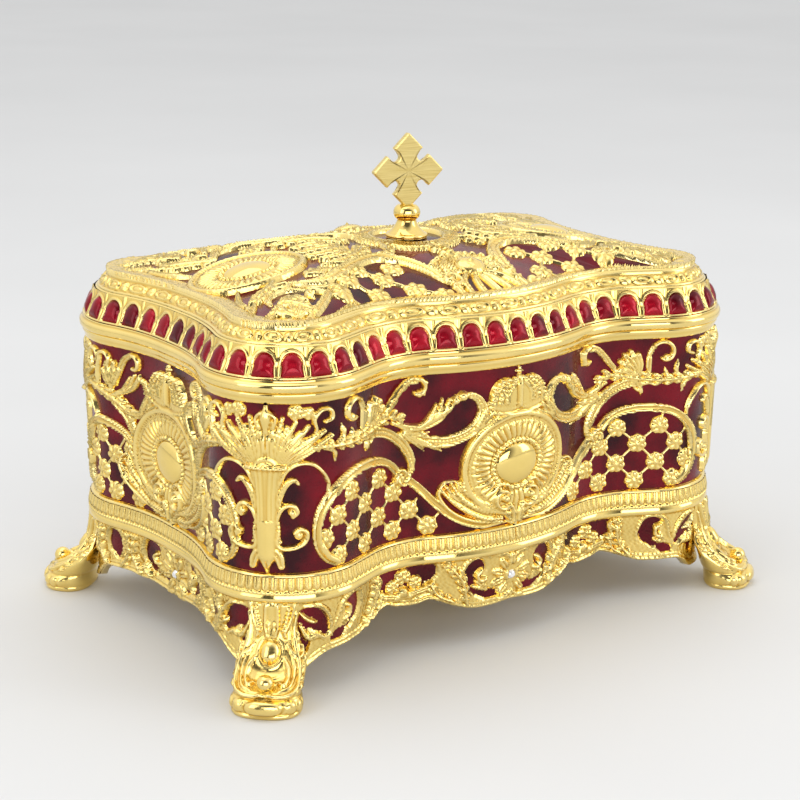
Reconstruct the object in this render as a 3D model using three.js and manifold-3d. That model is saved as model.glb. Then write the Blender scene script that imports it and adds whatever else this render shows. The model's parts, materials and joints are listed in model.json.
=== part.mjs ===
// Reliquary casket: cast and gilded, grounds of wine-red enamel, four splayed scroll feet, a lift-off
// lid and a flat cross finial. Millimetres, +Z up, front towards -Y, origin on the ground below the
// middle. Places on the wall are (u, z): u runs along the plan outline from the front centre, h stands
// out from the enamel ground. Ornament is drawn once, for a quarter, and mirrored to the other three.
import * as THREE from 'three';
import { mergeVertices } from 'three/addons/utils/BufferGeometryUtils.js';
import Module from 'manifold-3d';

const wasm = await Module();
wasm.setup();

// ---------------------------------------------------------------- driving dimensions

// A quarter of the plan outline, front centre to side centre. A negative radius is a hollow.
const QUARTER = [
  { radius: 98.0, degrees: 21.26, facets: 2 }, // front bulge
  { radius: -39.06, degrees: 44.86, facets: 3 }, // fold
  { straight: 13.16, facets: 1 },
  { radius: 30.43, degrees: 131.24, facets: 5 }, // corner
  { straight: 4.67, facets: 0 }, // one facet with the first of the hollow
  { radius: -94.8, degrees: 17.64, facets: 2 }, // hollow of the short side
  { straight: 4.3, facets: 1 },
];
const FLOOR_UNDERSIDE = 37.3;
const FLOOR_TOP = 40; // top of the base, which closes the box from below
const GROUND_BOTTOM = 48.4;
const GROUND_TOP = 113.7;
const RIM_TOP = 118;
const RIM_OFFSET = 2.4;
const CAVITY_OFFSET = -4; // inside of the walls, about 3.5 mm thick
const SKIRT_INSIDE = -5;
const SKIRT_OFFSET = -2.3;
const SKIRT_RIB_Z = 27;
const SKIRT_TOP_Z = 36.8;
const LEDGE = { offset: 2, low: 38.6 }; // the moulding that the walls stand on
const WALL_FOOT_OFFSET = 1.9;

const SEAT_GAP = 0.3; // body on base, lid on rim, stem on lid, stones in their settings
const LID_BOTTOM = RIM_TOP + SEAT_GAP;
const FLANGE_OFFSET = 3.5;
const LIP = { inside: -6.4, outside: -4.4, low: 115.3 }; // keeps the lid in place on the rim
const COVE = { low: [1.7, 122.8], high: [-3.2, 133.8] }; // (offset, z) of the gadrooned cove
const GADROONS = 70;
const FIELD_OFFSET = -12;
const FIELD_Z = 139.7;
const DOME_RISE = 12.1;
const LID_WALL = 3;

const FOOT_U = 115.0; // middle of the corner lobe
const TORCH_U = 117;
const MEDALLION = { wide: 25.5, tall: 21.5, z: 74 };
const CROWN_Z = 103;
const END_MEDALLION = { x: 77, long: 25, broad: 19.5 };

const STEM_FOOT = FIELD_Z + DOME_RISE + 0.1 + SEAT_GAP;
const STEM_SIDES = 9;
const STONE_Z = 26.6;
const STONE_RADIUS = 2.2;
const CROSS = { low: 163.6, high: 195.4, thick: 3, turn: THREE.MathUtils.degToRad(-11) };

const SINK = 1.2; // how deep a boss is rooted in the wall
const STROKE_SINK = 0.7;

// ---------------------------------------------------------------- plan outline

const rad = THREE.MathUtils.degToRad;

function arcLength(segment) {
  return segment.straight ?? Math.abs(segment.radius) * rad(segment.degrees);
}

const QUARTER_LENGTH = QUARTER.reduce((sum, segment) => sum + arcLength(segment), 0);

// Position and heading after walking u along the quarter from (0, 0), heading +X.
function walk(u) {
  let x = 0;
  let y = 0;
  let heading = 0;
  for (const segment of QUARTER) {
    const length = Math.min(arcLength(segment), u);
    if (segment.straight) {
      x += length * Math.cos(heading);
      y += length * Math.sin(heading);
    } else {
      const next = heading + length / segment.radius;
      x += segment.radius * (Math.sin(next) - Math.sin(heading));
      y -= segment.radius * (Math.cos(next) - Math.cos(heading));
      heading = next;
    }
    u -= length;
    if (u <= 0) break;
  }
  return { x, y, heading };
}

const FRONT_Y = -walk(QUARTER_LENGTH).y;

// Point and outward normal of the outline anywhere round the casket.
function outline(u) {
  const lap = 4 * QUARTER_LENGTH;
  const round = ((u % lap) + lap) % lap;
  const quarter = Math.floor(round / QUARTER_LENGTH) % 4;
  const mirrored = quarter % 2 === 1;
  const rest = round - quarter * QUARTER_LENGTH;
  const { x, y, heading } = walk(mirrored ? QUARTER_LENGTH - rest : rest);
  const sx = quarter < 2 ? 1 : -1;
  const sy = quarter === 0 || quarter === 3 ? 1 : -1;
  return {
    x: sx * x,
    y: sy * (y + FRONT_Y),
    nx: sx * Math.sin(heading),
    ny: -sy * Math.cos(heading),
  };
}

function wallPoint(u, offset, z) {
  const { x, y, nx, ny } = outline(u);
  return [x + nx * offset, y + ny * offset, z];
}

// The facet edges of the whole outline.
function columnPlaces() {
  const quarter = [0];
  for (const segment of QUARTER) {
    const start = quarter.at(-1);
    for (let i = 1; i <= segment.facets; i++) {
      quarter.push(start + (arcLength(segment) * i) / segment.facets);
    }
  }
  const half = [...quarter, ...quarter.slice(0, -1).reverse().map((u) => 2 * QUARTER_LENGTH - u)];
  return [...half.slice(0, -1), ...half.slice(0, -1).map((u) => u + 2 * QUARTER_LENGTH)];
}

const COLUMNS = columnPlaces();

function ring(offset, z) {
  const height = typeof z === 'function' ? z : () => z;
  return COLUMNS.map((u) => wallPoint(u, offset, height(u)));
}

function lerp(places, values, at) {
  let i = 1;
  while (i < places.length - 1 && places[i] < at) i++;
  const t = (at - places[i - 1]) / (places[i] - places[i - 1]);
  return THREE.MathUtils.lerp(values[i - 1], values[i], THREE.MathUtils.clamp(t, 0, 1));
}

// Distance along the quarter, whichever quarter u is in.
function quarterPlace(u) {
  const half = ((u % (2 * QUARTER_LENGTH)) + 2 * QUARTER_LENGTH) % (2 * QUARTER_LENGTH);
  return Math.min(half, 2 * QUARTER_LENGTH - half);
}

// ---------------------------------------------------------------- meshes and solids

// A closed mesh is { points: [[x, y, z]], faces: [[a, b, c]] }.
function solidOf({ points, faces }) {
  const mesh = new wasm.Mesh({
    numProp: 3,
    vertProperties: new Float32Array(points.flat()),
    triVerts: new Uint32Array(faces.flat()),
  });
  return new wasm.Manifold(mesh);
}

function mirror(mesh, sx, sy) {
  const points = mesh.points.map(([x, y, z]) => [sx * x, sy * y, z]);
  const faces = sx * sy > 0 ? mesh.faces : mesh.faces.map(([a, b, c]) => [a, c, b]);
  return { points, faces };
}

const MIRRORS = [[1, 1], [-1, 1], [-1, -1], [1, -1]];

// Equal rings joined in order, closed at both ends by a point or a fan. Each ring turns
// anticlockwise seen from the side that the last ring is on.
function loft(rings, firstPoint, lastPoint) {
  const count = rings[0].length;
  const points = [firstPoint, ...rings.flat(), lastPoint];
  const faces = [];
  const at = (row, i) => 1 + row * count + (i % count);
  for (let i = 0; i < count; i++) {
    faces.push([0, at(0, i + 1), at(0, i)]);
    for (let row = 0; row < rings.length - 1; row++) {
      faces.push([at(row, i), at(row, i + 1), at(row + 1, i + 1)]);
      faces.push([at(row, i), at(row + 1, i + 1), at(row + 1, i)]);
    }
    faces.push([at(rings.length - 1, i), at(rings.length - 1, i + 1), points.length - 1]);
  }
  return { points, faces };
}

// Equal rings joined in order, and the last to the first.
function hoop(rings) {
  const count = rings[0].length;
  const faces = [];
  const at = (row, i) => (row % rings.length) * count + (i % count);
  for (let row = 0; row < rings.length; row++) {
    for (let i = 0; i < count; i++) {
      faces.push([at(row, i), at(row, i + 1), at(row + 1, i + 1)]);
      faces.push([at(row, i), at(row + 1, i + 1), at(row + 1, i)]);
    }
  }
  return { points: rings.flat(), faces };
}

function ball(centre, radii, sides, rows) {
  const shape = new THREE.Vector3(...radii);
  const place = (longitude, latitude) => {
    const p = new THREE.Vector3(
      Math.cos(longitude) * Math.cos(latitude),
      Math.sin(longitude) * Math.cos(latitude),
      Math.sin(latitude),
    );
    return p.multiply(shape).add(new THREE.Vector3(...centre)).toArray();
  };
  const rings = [];
  for (let row = 1; row < rows; row++) {
    const latitude = Math.PI * (row / rows - 0.5);
    rings.push(Array.from({ length: sides }, (_, i) => place((2 * Math.PI * i) / sides, latitude)));
  }
  return loft(rings, place(0, -Math.PI / 2), place(0, Math.PI / 2));
}

function named(name, geometry, material) {
  const mesh = new THREE.Mesh(geometry, material);
  mesh.name = name;
  return mesh;
}

function solidOfGeometry(geometry) {
  geometry.deleteAttribute('normal');
  geometry.deleteAttribute('uv');
  const merged = mergeVertices(geometry, 1e-3);
  const corners = (i) => [0, 1, 2].map((k) => merged.index.array[3 * i + k]);
  const position = merged.attributes.position;
  const points = Array.from({ length: position.count }, (_, i) => [position.getX(i), position.getY(i), position.getZ(i)]);
  const faces = Array.from({ length: merged.index.count / 3 }, (_, i) => corners(i));
  return solidOf({ points, faces: faces.filter(([a, b, c]) => a !== b && b !== c && c !== a) });
}

function geometryOf(solid) {
  const { vertProperties, triVerts } = solid.getMesh();
  const geometry = new THREE.BufferGeometry();
  geometry.setAttribute('position', new THREE.BufferAttribute(vertProperties, 3));
  geometry.setIndex(new THREE.BufferAttribute(triVerts, 1));
  return geometry;
}

// ---------------------------------------------------------------- relief on a ground

// A ground is a function (a, b, h) to a point, with a and b running right and up on its face.
// It follows the facets, so that the edge of a relief lies in them.
function facetPoint(u, offset, z, h) {
  const lap = 4 * QUARTER_LENGTH;
  const round = ((u % lap) + lap) % lap;
  const next = COLUMNS.findIndex((column) => column > round);
  const start = COLUMNS.at(next - 1);
  const end = next < 0 ? lap : COLUMNS[next];
  const t = (round - start) / (end - start);
  const a = outline(start);
  const b = outline(end);
  const mix = (key) => THREE.MathUtils.lerp(a[key], b[key], t);
  return [
    mix('x') + mix('nx') * offset + mix('nx') * h,
    mix('y') + mix('ny') * offset + mix('ny') * h,
    z,
  ];
}

const wallGround = (u, z, h) => {
  const lean = (z - GROUND_BOTTOM) / (GROUND_TOP - GROUND_BOTTOM);
  return facetPoint(u, lean - 1, z, h);
};

const skirtGround = (u, z, h) => {
  const lean = (z - SKIRT_RIB_Z) / (SKIRT_TOP_Z - SKIRT_RIB_Z);
  return facetPoint(u, THREE.MathUtils.lerp(SKIRT_OFFSET, -1, Math.max(0, lean)), z, h);
};

const FIELD_RING = ring(FIELD_OFFSET, FIELD_Z);

// How far out towards the edge of the lid's field (x, y) lies, from 0 to 1.
function fieldReach(x, y) {
  for (let i = 0; i < FIELD_RING.length; i++) {
    const [ax, ay] = FIELD_RING[i];
    const [bx, by] = FIELD_RING[(i + 1) % FIELD_RING.length];
    const whole = ax * by - ay * bx;
    const s = (x * by - y * bx) / whole;
    const t = (ax * y - ay * x) / whole;
    if (s >= 0 && t >= 0) return s + t;
  }
  return 0;
}

const domeZ = (reach) => FIELD_Z + DOME_RISE * (1 - reach * reach);

const lidGround = (x, y, h) => [x, y, domeZ(Math.min(1, fieldReach(x, y))) + h];

function anticlockwise(places) {
  return THREE.ShapeUtils.isClockWise(places.map(([x, y]) => ({ x, y }))) ? places.toReversed() : places;
}

// A closed shape round a centre: rings are given as [scale, height], the last height is the top's.
function boss(ground, [a, b], places, layers, top) {
  const rings = [[1, -SINK], ...layers].map(([scale, h]) =>
    anticlockwise(places).map(([da, db]) => ground(a + da * scale, b + db * scale, h)));
  return loft(rings, ground(a, b, -SINK), ground(a, b, top));
}

function oval(wide, tall, sides, phase = 0) {
  return Array.from({ length: sides }, (_, i) => {
    const angle = (2 * Math.PI * (i + phase)) / sides;
    return [wide * Math.cos(angle), tall * Math.sin(angle)];
  });
}

// A raised, pointed-backed line through a few places, tapering towards both ends.
function stroke(ground, places, width, height, segments) {
  const curve = new THREE.SplineCurve(places.map(([a, b]) => new THREE.Vector2(a, b)));
  const spread = (height + STROKE_SINK) / height;
  const rings = [];
  for (let i = 0; i <= segments; i++) {
    const t = i / segments;
    const { x: a, y: b } = curve.getPoint(t);
    const tangent = curve.getTangent(t);
    const taper = 0.45 + 0.55 * Math.sin(Math.PI * Math.min(1, 0.12 + 0.88 * t));
    const half = (width / 2) * spread * taper;
    rings.push([
      ground(a - tangent.y * half, b + tangent.x * half, -STROKE_SINK),
      ground(a + tangent.y * half, b - tangent.x * half, -STROKE_SINK),
      ground(a, b, height * taper),
    ]);
  }
  const points = rings.flat();
  const last = 3 * segments;
  const faces = [[0, 1, 2], [last, last + 2, last + 1]];
  for (let i = 0; i < segments; i++) {
    for (let k = 0; k < 3; k++) {
      const [p, q] = [3 * i + k, 3 * i + ((k + 1) % 3)];
      faces.push([p, q + 3, q], [p, p + 3, q + 3]);
    }
  }
  return { points, faces };
}

function rosette(ground, place, radius, height) {
  return boss(ground, place, oval(radius, radius, 4), [], height);
}

// ---------------------------------------------------------------- body ornament

const MIDDLES = [0, 1, 2, 3].map((side) => side * QUARTER_LENGTH);

function medallion(ground, place, wide, tall, sides) {
  const layers = [[0.94, 2.4], [0.46, 1.0]];
  return boss(ground, place, oval(wide, tall, sides), layers, 4.2);
}

function crown(u) {
  const outlinePoints = [[12, -7], [13, 0], [9, 5.5], [3, 5], [0, 10.5], [-3, 5], [-9, 5.5], [-13, 0], [-12, -7]];
  return boss(wallGround, [u, CROWN_Z], outlinePoints, [], 2.6);
}

// The scrolls that sweep from the medallion along the lower edge, and its small side volutes.
function sweep(sign, centre) {
  const side = ([du, z]) => [centre + sign * du, z];
  const places = [[48, 72], [42, 68], [35, 61], [26, 54.5], [14, 51], [3, 51]].map(side);
  return stroke(wallGround, places, 3.6, 2.2, 3);
}

function lattice(places) {
  return places.map((place) => rosette(wallGround, place, 3.7, 2.0));
}

// Staggered rosettes of the diaper, pitch apart along u, rise apart in z.
function diaper(firstU, firstZ, pitch, rise, rows) {
  return rows.flatMap((count, row) =>
    Array.from({ length: count }, (_, i) => [firstU + (i + (row % 2) / 2) * pitch, firstZ + row * rise]));
}

// The frame of the lattice, on the front and the back.
function frontScrolls() {
  const frame = [[52, 74], [57, 81], [72, 84.5], [88, 81], [97, 70], [97, 57], [89, 51]];
  return [stroke(wallGround, frame, 3.4, 2.4, 5)];
}

// What the plainer back goes without: the upper scrolls and the rosettes of the lattice.
function frontDetail() {
  const innerC = [[56, 94], [45, 88], [28, 87], [16, 96]];
  return [
    stroke(wallGround, innerC, 2.8, 2.0, 3),
    sweep(1, 0),
    ...lattice(diaper(54.4, 52, 16.4, 8.1, [3, 3, 2, 1])),
  ];
}

function sideScrolls() {
  const frame = [[159, 77], [151, 81.5], [141, 82], [133, 76], [130, 66], [130, 58], [136, 50.5]];
  return [stroke(wallGround, frame, 3.4, 2.4, 5)];
}

// The torch on the corner: leaf fan, collar, fluted cup and three-lobed foot.
function torch() {
  const fan = [[24, 9], [17, 17], [9, 16], [4, 22], [-4, 22], [-9, 16], [-17, 17], [-24, 9], [-7, 0], [7, 0]];
  const cup = [[7, 9], [4.5, -8], [3.2, -20], [-3.2, -20], [-4.5, -8], [-7, 9]];
  const foot = [[3, 5], [6.5, 3], [3, -1], [0, -5.5], [-3, -1], [-6.5, 3], [-3, 5]];
  return [
    boss(wallGround, [TORCH_U, 91], fan, [], 3.6),
    boss(wallGround, [TORCH_U, 79], cup, [], 3.4),
    boss(wallGround, [TORCH_U, 54], foot, [], 3.2),
  ];
}

function quarterRelief() {
  return [
    ...frontScrolls(),
    ...sideScrolls(),
    ...lattice([[142, 76], [150, 68.5], [157, 60.5], [143, 60.5], [150, 52.5]]),
    ...torch(),
    sweep(-1, QUARTER_LENGTH),
  ];
}

function centreRelief() {
  return MIDDLES.flatMap((u) => [
    medallion(wallGround, [u, MEDALLION.z], MEDALLION.wide, MEDALLION.tall, 10),
    crown(u),
    boss(wallGround, [u, 52.5], [[5, 5], [2.5, -2], [0, -4], [-2.5, -2], [-5, 5]], [], 2.2),
  ]);
}

// ---------------------------------------------------------------- skirt and feet

const EDGE_U = [0, 18, 36, 47, 57, 67, 80, 92, 100, 104, 130, 134, 142, 155, 170, 188];
const EDGE_Z = [16, 15, 21, 20, 22, 18.5, 16, 15.5, 12, 9, 9, 13, 18, 19, 18.4, 18];

function skirtEdge(u) {
  return lerp(EDGE_U, EDGE_Z, quarterPlace(u));
}

// The flower at the middle of each side, with a socket for its stone.
function flower(u) {
  return boss(skirtGround, [u, STONE_Z], oval(8.4, 8, 8), [[0.4, 1.8]], 1.8);
}

// Frame of a foot: the outward direction of the corner lobe, and the tangent across it.
const CORNER = outline(FOOT_U);

function footPoint(out, across, z) {
  return [
    CORNER.x + CORNER.nx * out - CORNER.ny * across,
    CORNER.y + CORNER.ny * out + CORNER.nx * across,
    z,
  ];
}

// A foot is a stack of rounded slices: [z, middle out from the outline, half depth, half width].
const FOOT_SLICES = [
  [0, 13, 9, 12],
  [2.6, 13.2, 10.2, 13.6],
  [6.6, 12, 9.6, 13.4],
  [8.2, 8.5, 6.6, 12],
  [14, 4.6, 5.0, 12],
  [26, -1.6, 2.9, 13.5],
];

function foot() {
  const corner = 0.62;
  const rounded = [[1, 0.5], [1, -0.5], [corner, -1], [-corner, -1], [-1, -0.5], [-1, 0.5], [-corner, 1], [corner, 1]];
  const rings = FOOT_SLICES.map(([z, out, deep, wide]) =>
    rounded.map(([d, w]) => footPoint(out + d * deep, w * wide, z)).reverse());
  const [lowZ, lowOut] = FOOT_SLICES[0];
  const [highZ, highOut] = FOOT_SLICES.at(-1);
  return loft(rings, footPoint(lowOut, 0, lowZ), footPoint(highOut, 0, highZ));
}

// The bracket above the foot, its cabochon, the scroll ball and the toe.
function footTrim() {
  const bracket = [[9, 8], [8, -2], [4.5, -10], [-4.5, -10], [-8, -2], [-9, 8]];
  const cabochon = ball(footPoint(4.4, 0, 19), [4, 3.2, 5.6], 6, 3);
  const scrollBall = ball(footPoint(17.2, 0, 11), [3.5, 3.5, 3.5], 6, 4);
  const toe = ball(footPoint(20, 0, 4.4), [3.2, 6, 3.4], 6, 3);
  return [boss(skirtGround, [FOOT_U, 29], bracket, [], 5.2), cabochon, scrollBall, toe];
}

// ---------------------------------------------------------------- casket body

// The base: skirt, ledge and floor.
function baseShell() {
  const rings = [
    ring(SKIRT_INSIDE, FLOOR_UNDERSIDE),
    ring(SKIRT_INSIDE, skirtEdge),
    ring(SKIRT_OFFSET, skirtEdge),
    ring(SKIRT_OFFSET, SKIRT_RIB_Z),
    ring(-1, SKIRT_TOP_Z),
    ring(LEDGE.offset, LEDGE.low),
    ring(LEDGE.offset, FLOOR_TOP),
  ];
  return loft(rings, [0, 0, FLOOR_UNDERSIDE], [0, 0, FLOOR_TOP]);
}

// The walls, which stand on the base.
function bodyShell() {
  const bottom = FLOOR_TOP + SEAT_GAP;
  return hoop([
    ring(WALL_FOOT_OFFSET, bottom),
    ring(-1, GROUND_BOTTOM),
    ring(0, GROUND_TOP),
    ring(RIM_OFFSET, RIM_TOP),
    ring(CAVITY_OFFSET, RIM_TOP),
    ring(CAVITY_OFFSET, bottom),
  ]);
}

function stonePlace(u) {
  return wallPoint(u, SKIRT_OFFSET + 1.2, STONE_Z);
}

function quartered(meshes, sides = MIRRORS) {
  return sides.flatMap(([sx, sy]) => meshes.map((mesh) => mirror(mesh, sx, sy)));
}

function buildBase(stones) {
  const parts = [baseShell(), ...MIDDLES.map(flower), ...quartered([foot(), ...footTrim()])];
  const cast = wasm.Manifold.union(parts.map(solidOf));
  return stones.reduce((base, { socket }) => base.subtract(solidOf(socket)), cast);
}

function buildBody() {
  const front = MIRRORS.filter(([, sy]) => sy > 0);
  const parts = [bodyShell(), ...centreRelief(), ...quartered(quarterRelief()), ...quartered(frontDetail(), front)];
  return wasm.Manifold.union(parts.map(solidOf));
}

// ---------------------------------------------------------------- stones

// A stone faces outwards at u: a low faceted dome over a short cone, in a socket a little larger.
function stoneMesh(u, grow) {
  const { nx, ny } = outline(u);
  const [x, y, z] = stonePlace(u);
  const place = (across, up, out) => [x + nx * out - ny * across, y + ny * out + nx * across, z + up];
  const circle = (radius, out) => oval(radius, radius, 6).map(([a, b]) => place(a, b, out));
  const point = -1.6 - grow;
  const girdle = grow ? 3 : 0.5;
  const table = grow ? 4 : 1.3;
  const tableRadius = grow ? STONE_RADIUS + grow : 1.3;
  const rings = [
    circle(0.9 + grow, point),
    circle(STONE_RADIUS + grow, 0),
    circle(STONE_RADIUS + grow, girdle),
    circle(tableRadius, table),
  ];
  return loft(rings, place(0, 0, point), place(0, 0, table));
}

function buildStones() {
  return ['front', 'right', 'back', 'left'].map((side, i) => ({
    name: `stone_${side}`,
    stone: stoneMesh(MIDDLES[i], 0),
    socket: stoneMesh(MIDDLES[i], SEAT_GAP),
  }));
}

// ---------------------------------------------------------------- lid

const scaledRing = (reach) => FIELD_RING.map(([x, y]) => [x * reach, y * reach, domeZ(reach)]);

function lidShell() {
  const [coveLow, coveHigh] = [COVE.low, COVE.high];
  const underDome = (reach) => FIELD_RING.map(([x, y]) => [x * reach, y * reach, domeZ(reach) - LID_WALL]);
  const inside = [underDome(0.95), ring(-8, 134), ring(-4, 122.6), ring(LIP.inside, 120), ring(LIP.inside, LIP.low)];
  const seat = [ring(LIP.outside, LIP.low), ring(LIP.outside, LID_BOTTOM), ring(FLANGE_OFFSET - 0.4, LID_BOTTOM)];
  const outside = [
    ring(FLANGE_OFFSET, 121.4),
    ring(...coveLow),
    ring(...coveHigh),
    ring(-10.6, 140.3),
    ring(FIELD_OFFSET, FIELD_Z),
    scaledRing(0.55),
  ];
  return loft([...inside, ...seat, ...outside], [0, 0, domeZ(0) - LID_WALL], [0, 0, domeZ(0)]);
}

// The cove as a ground: b runs up its slope from 0 to 1.
const coveGround = (u, b, h) => {
  const offset = THREE.MathUtils.lerp(COVE.low[0], COVE.high[0], b);
  const z = THREE.MathUtils.lerp(COVE.low[1], COVE.high[1], b);
  return wallPoint(u, offset + h * 0.9, z + h * 0.4);
};

function gadroon(u) {
  const middle = 0.42;
  const petal = [[4.3, 0.06], [2.4, 0.94], [-2.4, 0.94], [-4.3, 0.06]];
  return boss(coveGround, [u, middle], petal.map(([du, b]) => [du, b - middle]), [], 1.9);
}

function gadroons() {
  const pitch = (4 * QUARTER_LENGTH) / GADROONS;
  return Array.from({ length: GADROONS }, (_, i) => gadroon(i * pitch));
}

// A quarter of the scrollwork on the lid's field, at the right front.
function fieldRelief() {
  const frame = [[66, -29], [73, -32], [66, -38], [52, -33], [38, -27], [27, -26], [20, -34], [18, -46], [14, -52]];
  const cornerShell = [[10, -2], [5, 5], [-4, 10], [-12, 4], [-8, -6], [2, -11]];
  return [
    stroke(lidGround, frame, 3.4, 1.8, 4),
    boss(lidGround, [86, -46], cornerShell, [], 2.2),
  ];
}

function fieldCentres() {
  const shell = [[10, 0], [8, 9], [0, 13], [-8, 9], [-10, 0], [-7, -8], [0, -11], [7, -8]];
  const outward = (sign) => shell.map(([a, b]) => [sign * a, sign * b]);
  return [
    medallion(lidGround, [END_MEDALLION.x, 0], END_MEDALLION.long, END_MEDALLION.broad, 10),
    medallion(lidGround, [-END_MEDALLION.x, 0], END_MEDALLION.long, END_MEDALLION.broad, 10),
    boss(lidGround, [0, -47], outward(1), [[0.7, 1.8]], 2.6),
    boss(lidGround, [0, 47], outward(-1), [[0.7, 1.8]], 2.6),
  ];
}

// The wreath round the finial, and the plain round that it encloses.
function wreath() {
  const circle = (radius, h) => oval(radius, radius, 10).map(([x, y]) => lidGround(x, y, h));
  const rings = [circle(20, -SINK), circle(19, 1.5), circle(15.5, 1.5), circle(14.5, 0.1)];
  return loft(rings, [0, 0, domeZ(0) - SINK], [0, 0, STEM_FOOT - SEAT_GAP]);
}

function buildLid() {
  const parts = [lidShell(), ...gadroons(), ...fieldCentres(), wreath(), ...quartered(fieldRelief())];
  return wasm.Manifold.union(parts.map(solidOf));
}

// ---------------------------------------------------------------- finial

const STEM_PROFILE = [[8.7, 0], [8.7, 1.4], [7.4, 2], [4.4, 5.4], [4, 7], [4.9, 8.2], [5.6, 10], [4.9, 12], [3, 13.6]];

function stemGeometry() {
  const profile = STEM_PROFILE.map(([radius, rise]) => new THREE.Vector2(radius, STEM_FOOT + rise));
  const top = profile.at(-1).y;
  const closed = [new THREE.Vector2(0, STEM_FOOT), ...profile, new THREE.Vector2(0, top)];
  const turned = solidOfGeometry(new THREE.LatheGeometry(closed, STEM_SIDES).rotateX(Math.PI / 2));
  const slot = crossGeometry(CROSS.thick + 2 * SEAT_GAP, 2 * SEAT_GAP);
  return geometryOf(turned.subtract(solidOfGeometry(slot)));
}

// Arms that end in a square set on its corner, with a notch between each two.
function crossShape(grow) {
  const half = (CROSS.high - CROSS.low) / 2 + grow;
  const square = 4.6;
  const neck = 2.2;
  const notch = [4.2, 4.2];
  const arm = [[0, half], [square, half - square], [neck, half - 2 * square + neck]];
  const across = arm.slice(1).map(([x, y]) => [y, x]).reverse();
  const quarter = [...arm, notch, ...across].map(([x, y]) => new THREE.Vector2(x, y));
  const turned = [0, 1, 2, 3].flatMap((turn) =>
    quarter.map((place) => place.clone().rotateAround(new THREE.Vector2(), (-turn * Math.PI) / 2)));
  return new THREE.Shape(turned);
}

function crossGeometry(thick, grow) {
  const bevel = 0.5;
  const geometry = new THREE.ExtrudeGeometry(crossShape(grow), {
    depth: thick - 2 * bevel,
    bevelEnabled: true,
    bevelSegments: 1,
    bevelSize: bevel,
    bevelOffset: -bevel,
    bevelThickness: bevel,
  });
  geometry.translate(0, 0, bevel - thick / 2);
  geometry.rotateX(Math.PI / 2);
  geometry.rotateZ(CROSS.turn);
  geometry.translate(0, 0, (CROSS.low + CROSS.high) / 2);
  return geometry;
}

// ---------------------------------------------------------------- assembly

function finish(colour, roughness, metalness) {
  return new THREE.MeshStandardMaterial({ color: colour, roughness, metalness });
}

const GILT = finish(0xe6c465, 0.25, 1);
const CRYSTAL = finish(0xf4f8fa, 0.05, 0);

const casket = new THREE.Group();
const stones = buildStones();
casket.add(named('casket_base', geometryOf(buildBase(stones)), GILT));
casket.add(named('casket_body', geometryOf(buildBody()), GILT));
casket.add(named('lid', geometryOf(buildLid()), GILT));
casket.add(named('finial_stem', stemGeometry(), finish(0xe6c465, 0.2, 1)));
casket.add(named('cross', crossGeometry(CROSS.thick, 0), finish(0xe2c878, 0.35, 1)));
for (const { name, stone } of stones) {
  casket.add(named(name, geometryOf(solidOf(stone)), CRYSTAL));
}

export default casket;
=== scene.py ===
import itertools
import json
import math

import bpy
import numpy as np
from mathutils import Matrix, Vector

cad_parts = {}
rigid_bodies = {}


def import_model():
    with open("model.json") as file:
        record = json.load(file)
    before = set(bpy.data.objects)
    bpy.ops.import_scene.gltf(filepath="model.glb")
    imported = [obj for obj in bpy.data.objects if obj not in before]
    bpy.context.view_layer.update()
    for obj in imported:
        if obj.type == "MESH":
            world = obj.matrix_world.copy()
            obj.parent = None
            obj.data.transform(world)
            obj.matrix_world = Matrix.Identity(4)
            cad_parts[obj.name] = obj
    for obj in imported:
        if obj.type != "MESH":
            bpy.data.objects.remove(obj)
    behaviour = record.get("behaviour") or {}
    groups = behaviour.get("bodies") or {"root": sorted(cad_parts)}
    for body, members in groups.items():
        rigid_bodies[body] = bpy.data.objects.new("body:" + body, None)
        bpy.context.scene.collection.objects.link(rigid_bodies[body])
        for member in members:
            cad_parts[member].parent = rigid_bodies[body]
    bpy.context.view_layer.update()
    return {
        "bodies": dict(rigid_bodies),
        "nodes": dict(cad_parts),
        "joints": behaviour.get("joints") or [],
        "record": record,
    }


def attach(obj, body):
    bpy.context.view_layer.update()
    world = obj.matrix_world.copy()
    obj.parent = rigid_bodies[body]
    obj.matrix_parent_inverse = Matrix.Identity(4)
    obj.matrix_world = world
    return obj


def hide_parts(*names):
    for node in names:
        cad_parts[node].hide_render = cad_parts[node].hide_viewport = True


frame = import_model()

# Gilt casket with wine-red enamel grounds. Everything is drawn in millimetres and scaled to metres
# when a mesh is made. Places on the body are (u, z): u runs along the plan outline from the middle of
# the front, z is the height. Relief is a height h over a ground; where h is below 0 enamel shows.
MILLIMETRE = 0.001


# ---------------------------------------------------------------- plan outline

QUARTER = [  # (length, turn in degrees): front bulge, fold, corner lobe, hollow of the short side
    (36.365, 21.26),
    (30.583, -44.86),
    (13.16, 0),
    (69.702, 131.24),
    (4.67, 0),
    (29.187, -17.64),
    (4.3, 0),
]
SIDE = sum(length for length, _ in QUARTER)
LAP = 4 * SIDE
OUTLINE_STEP = 0.05
FOOT_U = 115.0
TORCH_U = 117.0


def running(steps):
    """The sums so far, from 0."""
    return np.concatenate([[0], np.cumsum(steps)])


def quarter_outline():
    """u, x, y and the normal's x, y from the middle of the front to the middle of the right end."""
    ends = running([length for length, _ in QUARTER])
    turns = running([math.radians(turn) for _, turn in QUARTER])
    u = np.linspace(0, SIDE, int(SIDE / OUTLINE_STEP) + 1)
    heading = np.interp(u, ends, turns)
    middle = (heading[1:] + heading[:-1]) / 2
    du = np.diff(u)
    x = running(np.cos(middle) * du)
    y = running(np.sin(middle) * du)
    return u, x, y - y[-1], np.sin(heading), -np.cos(heading)


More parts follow.
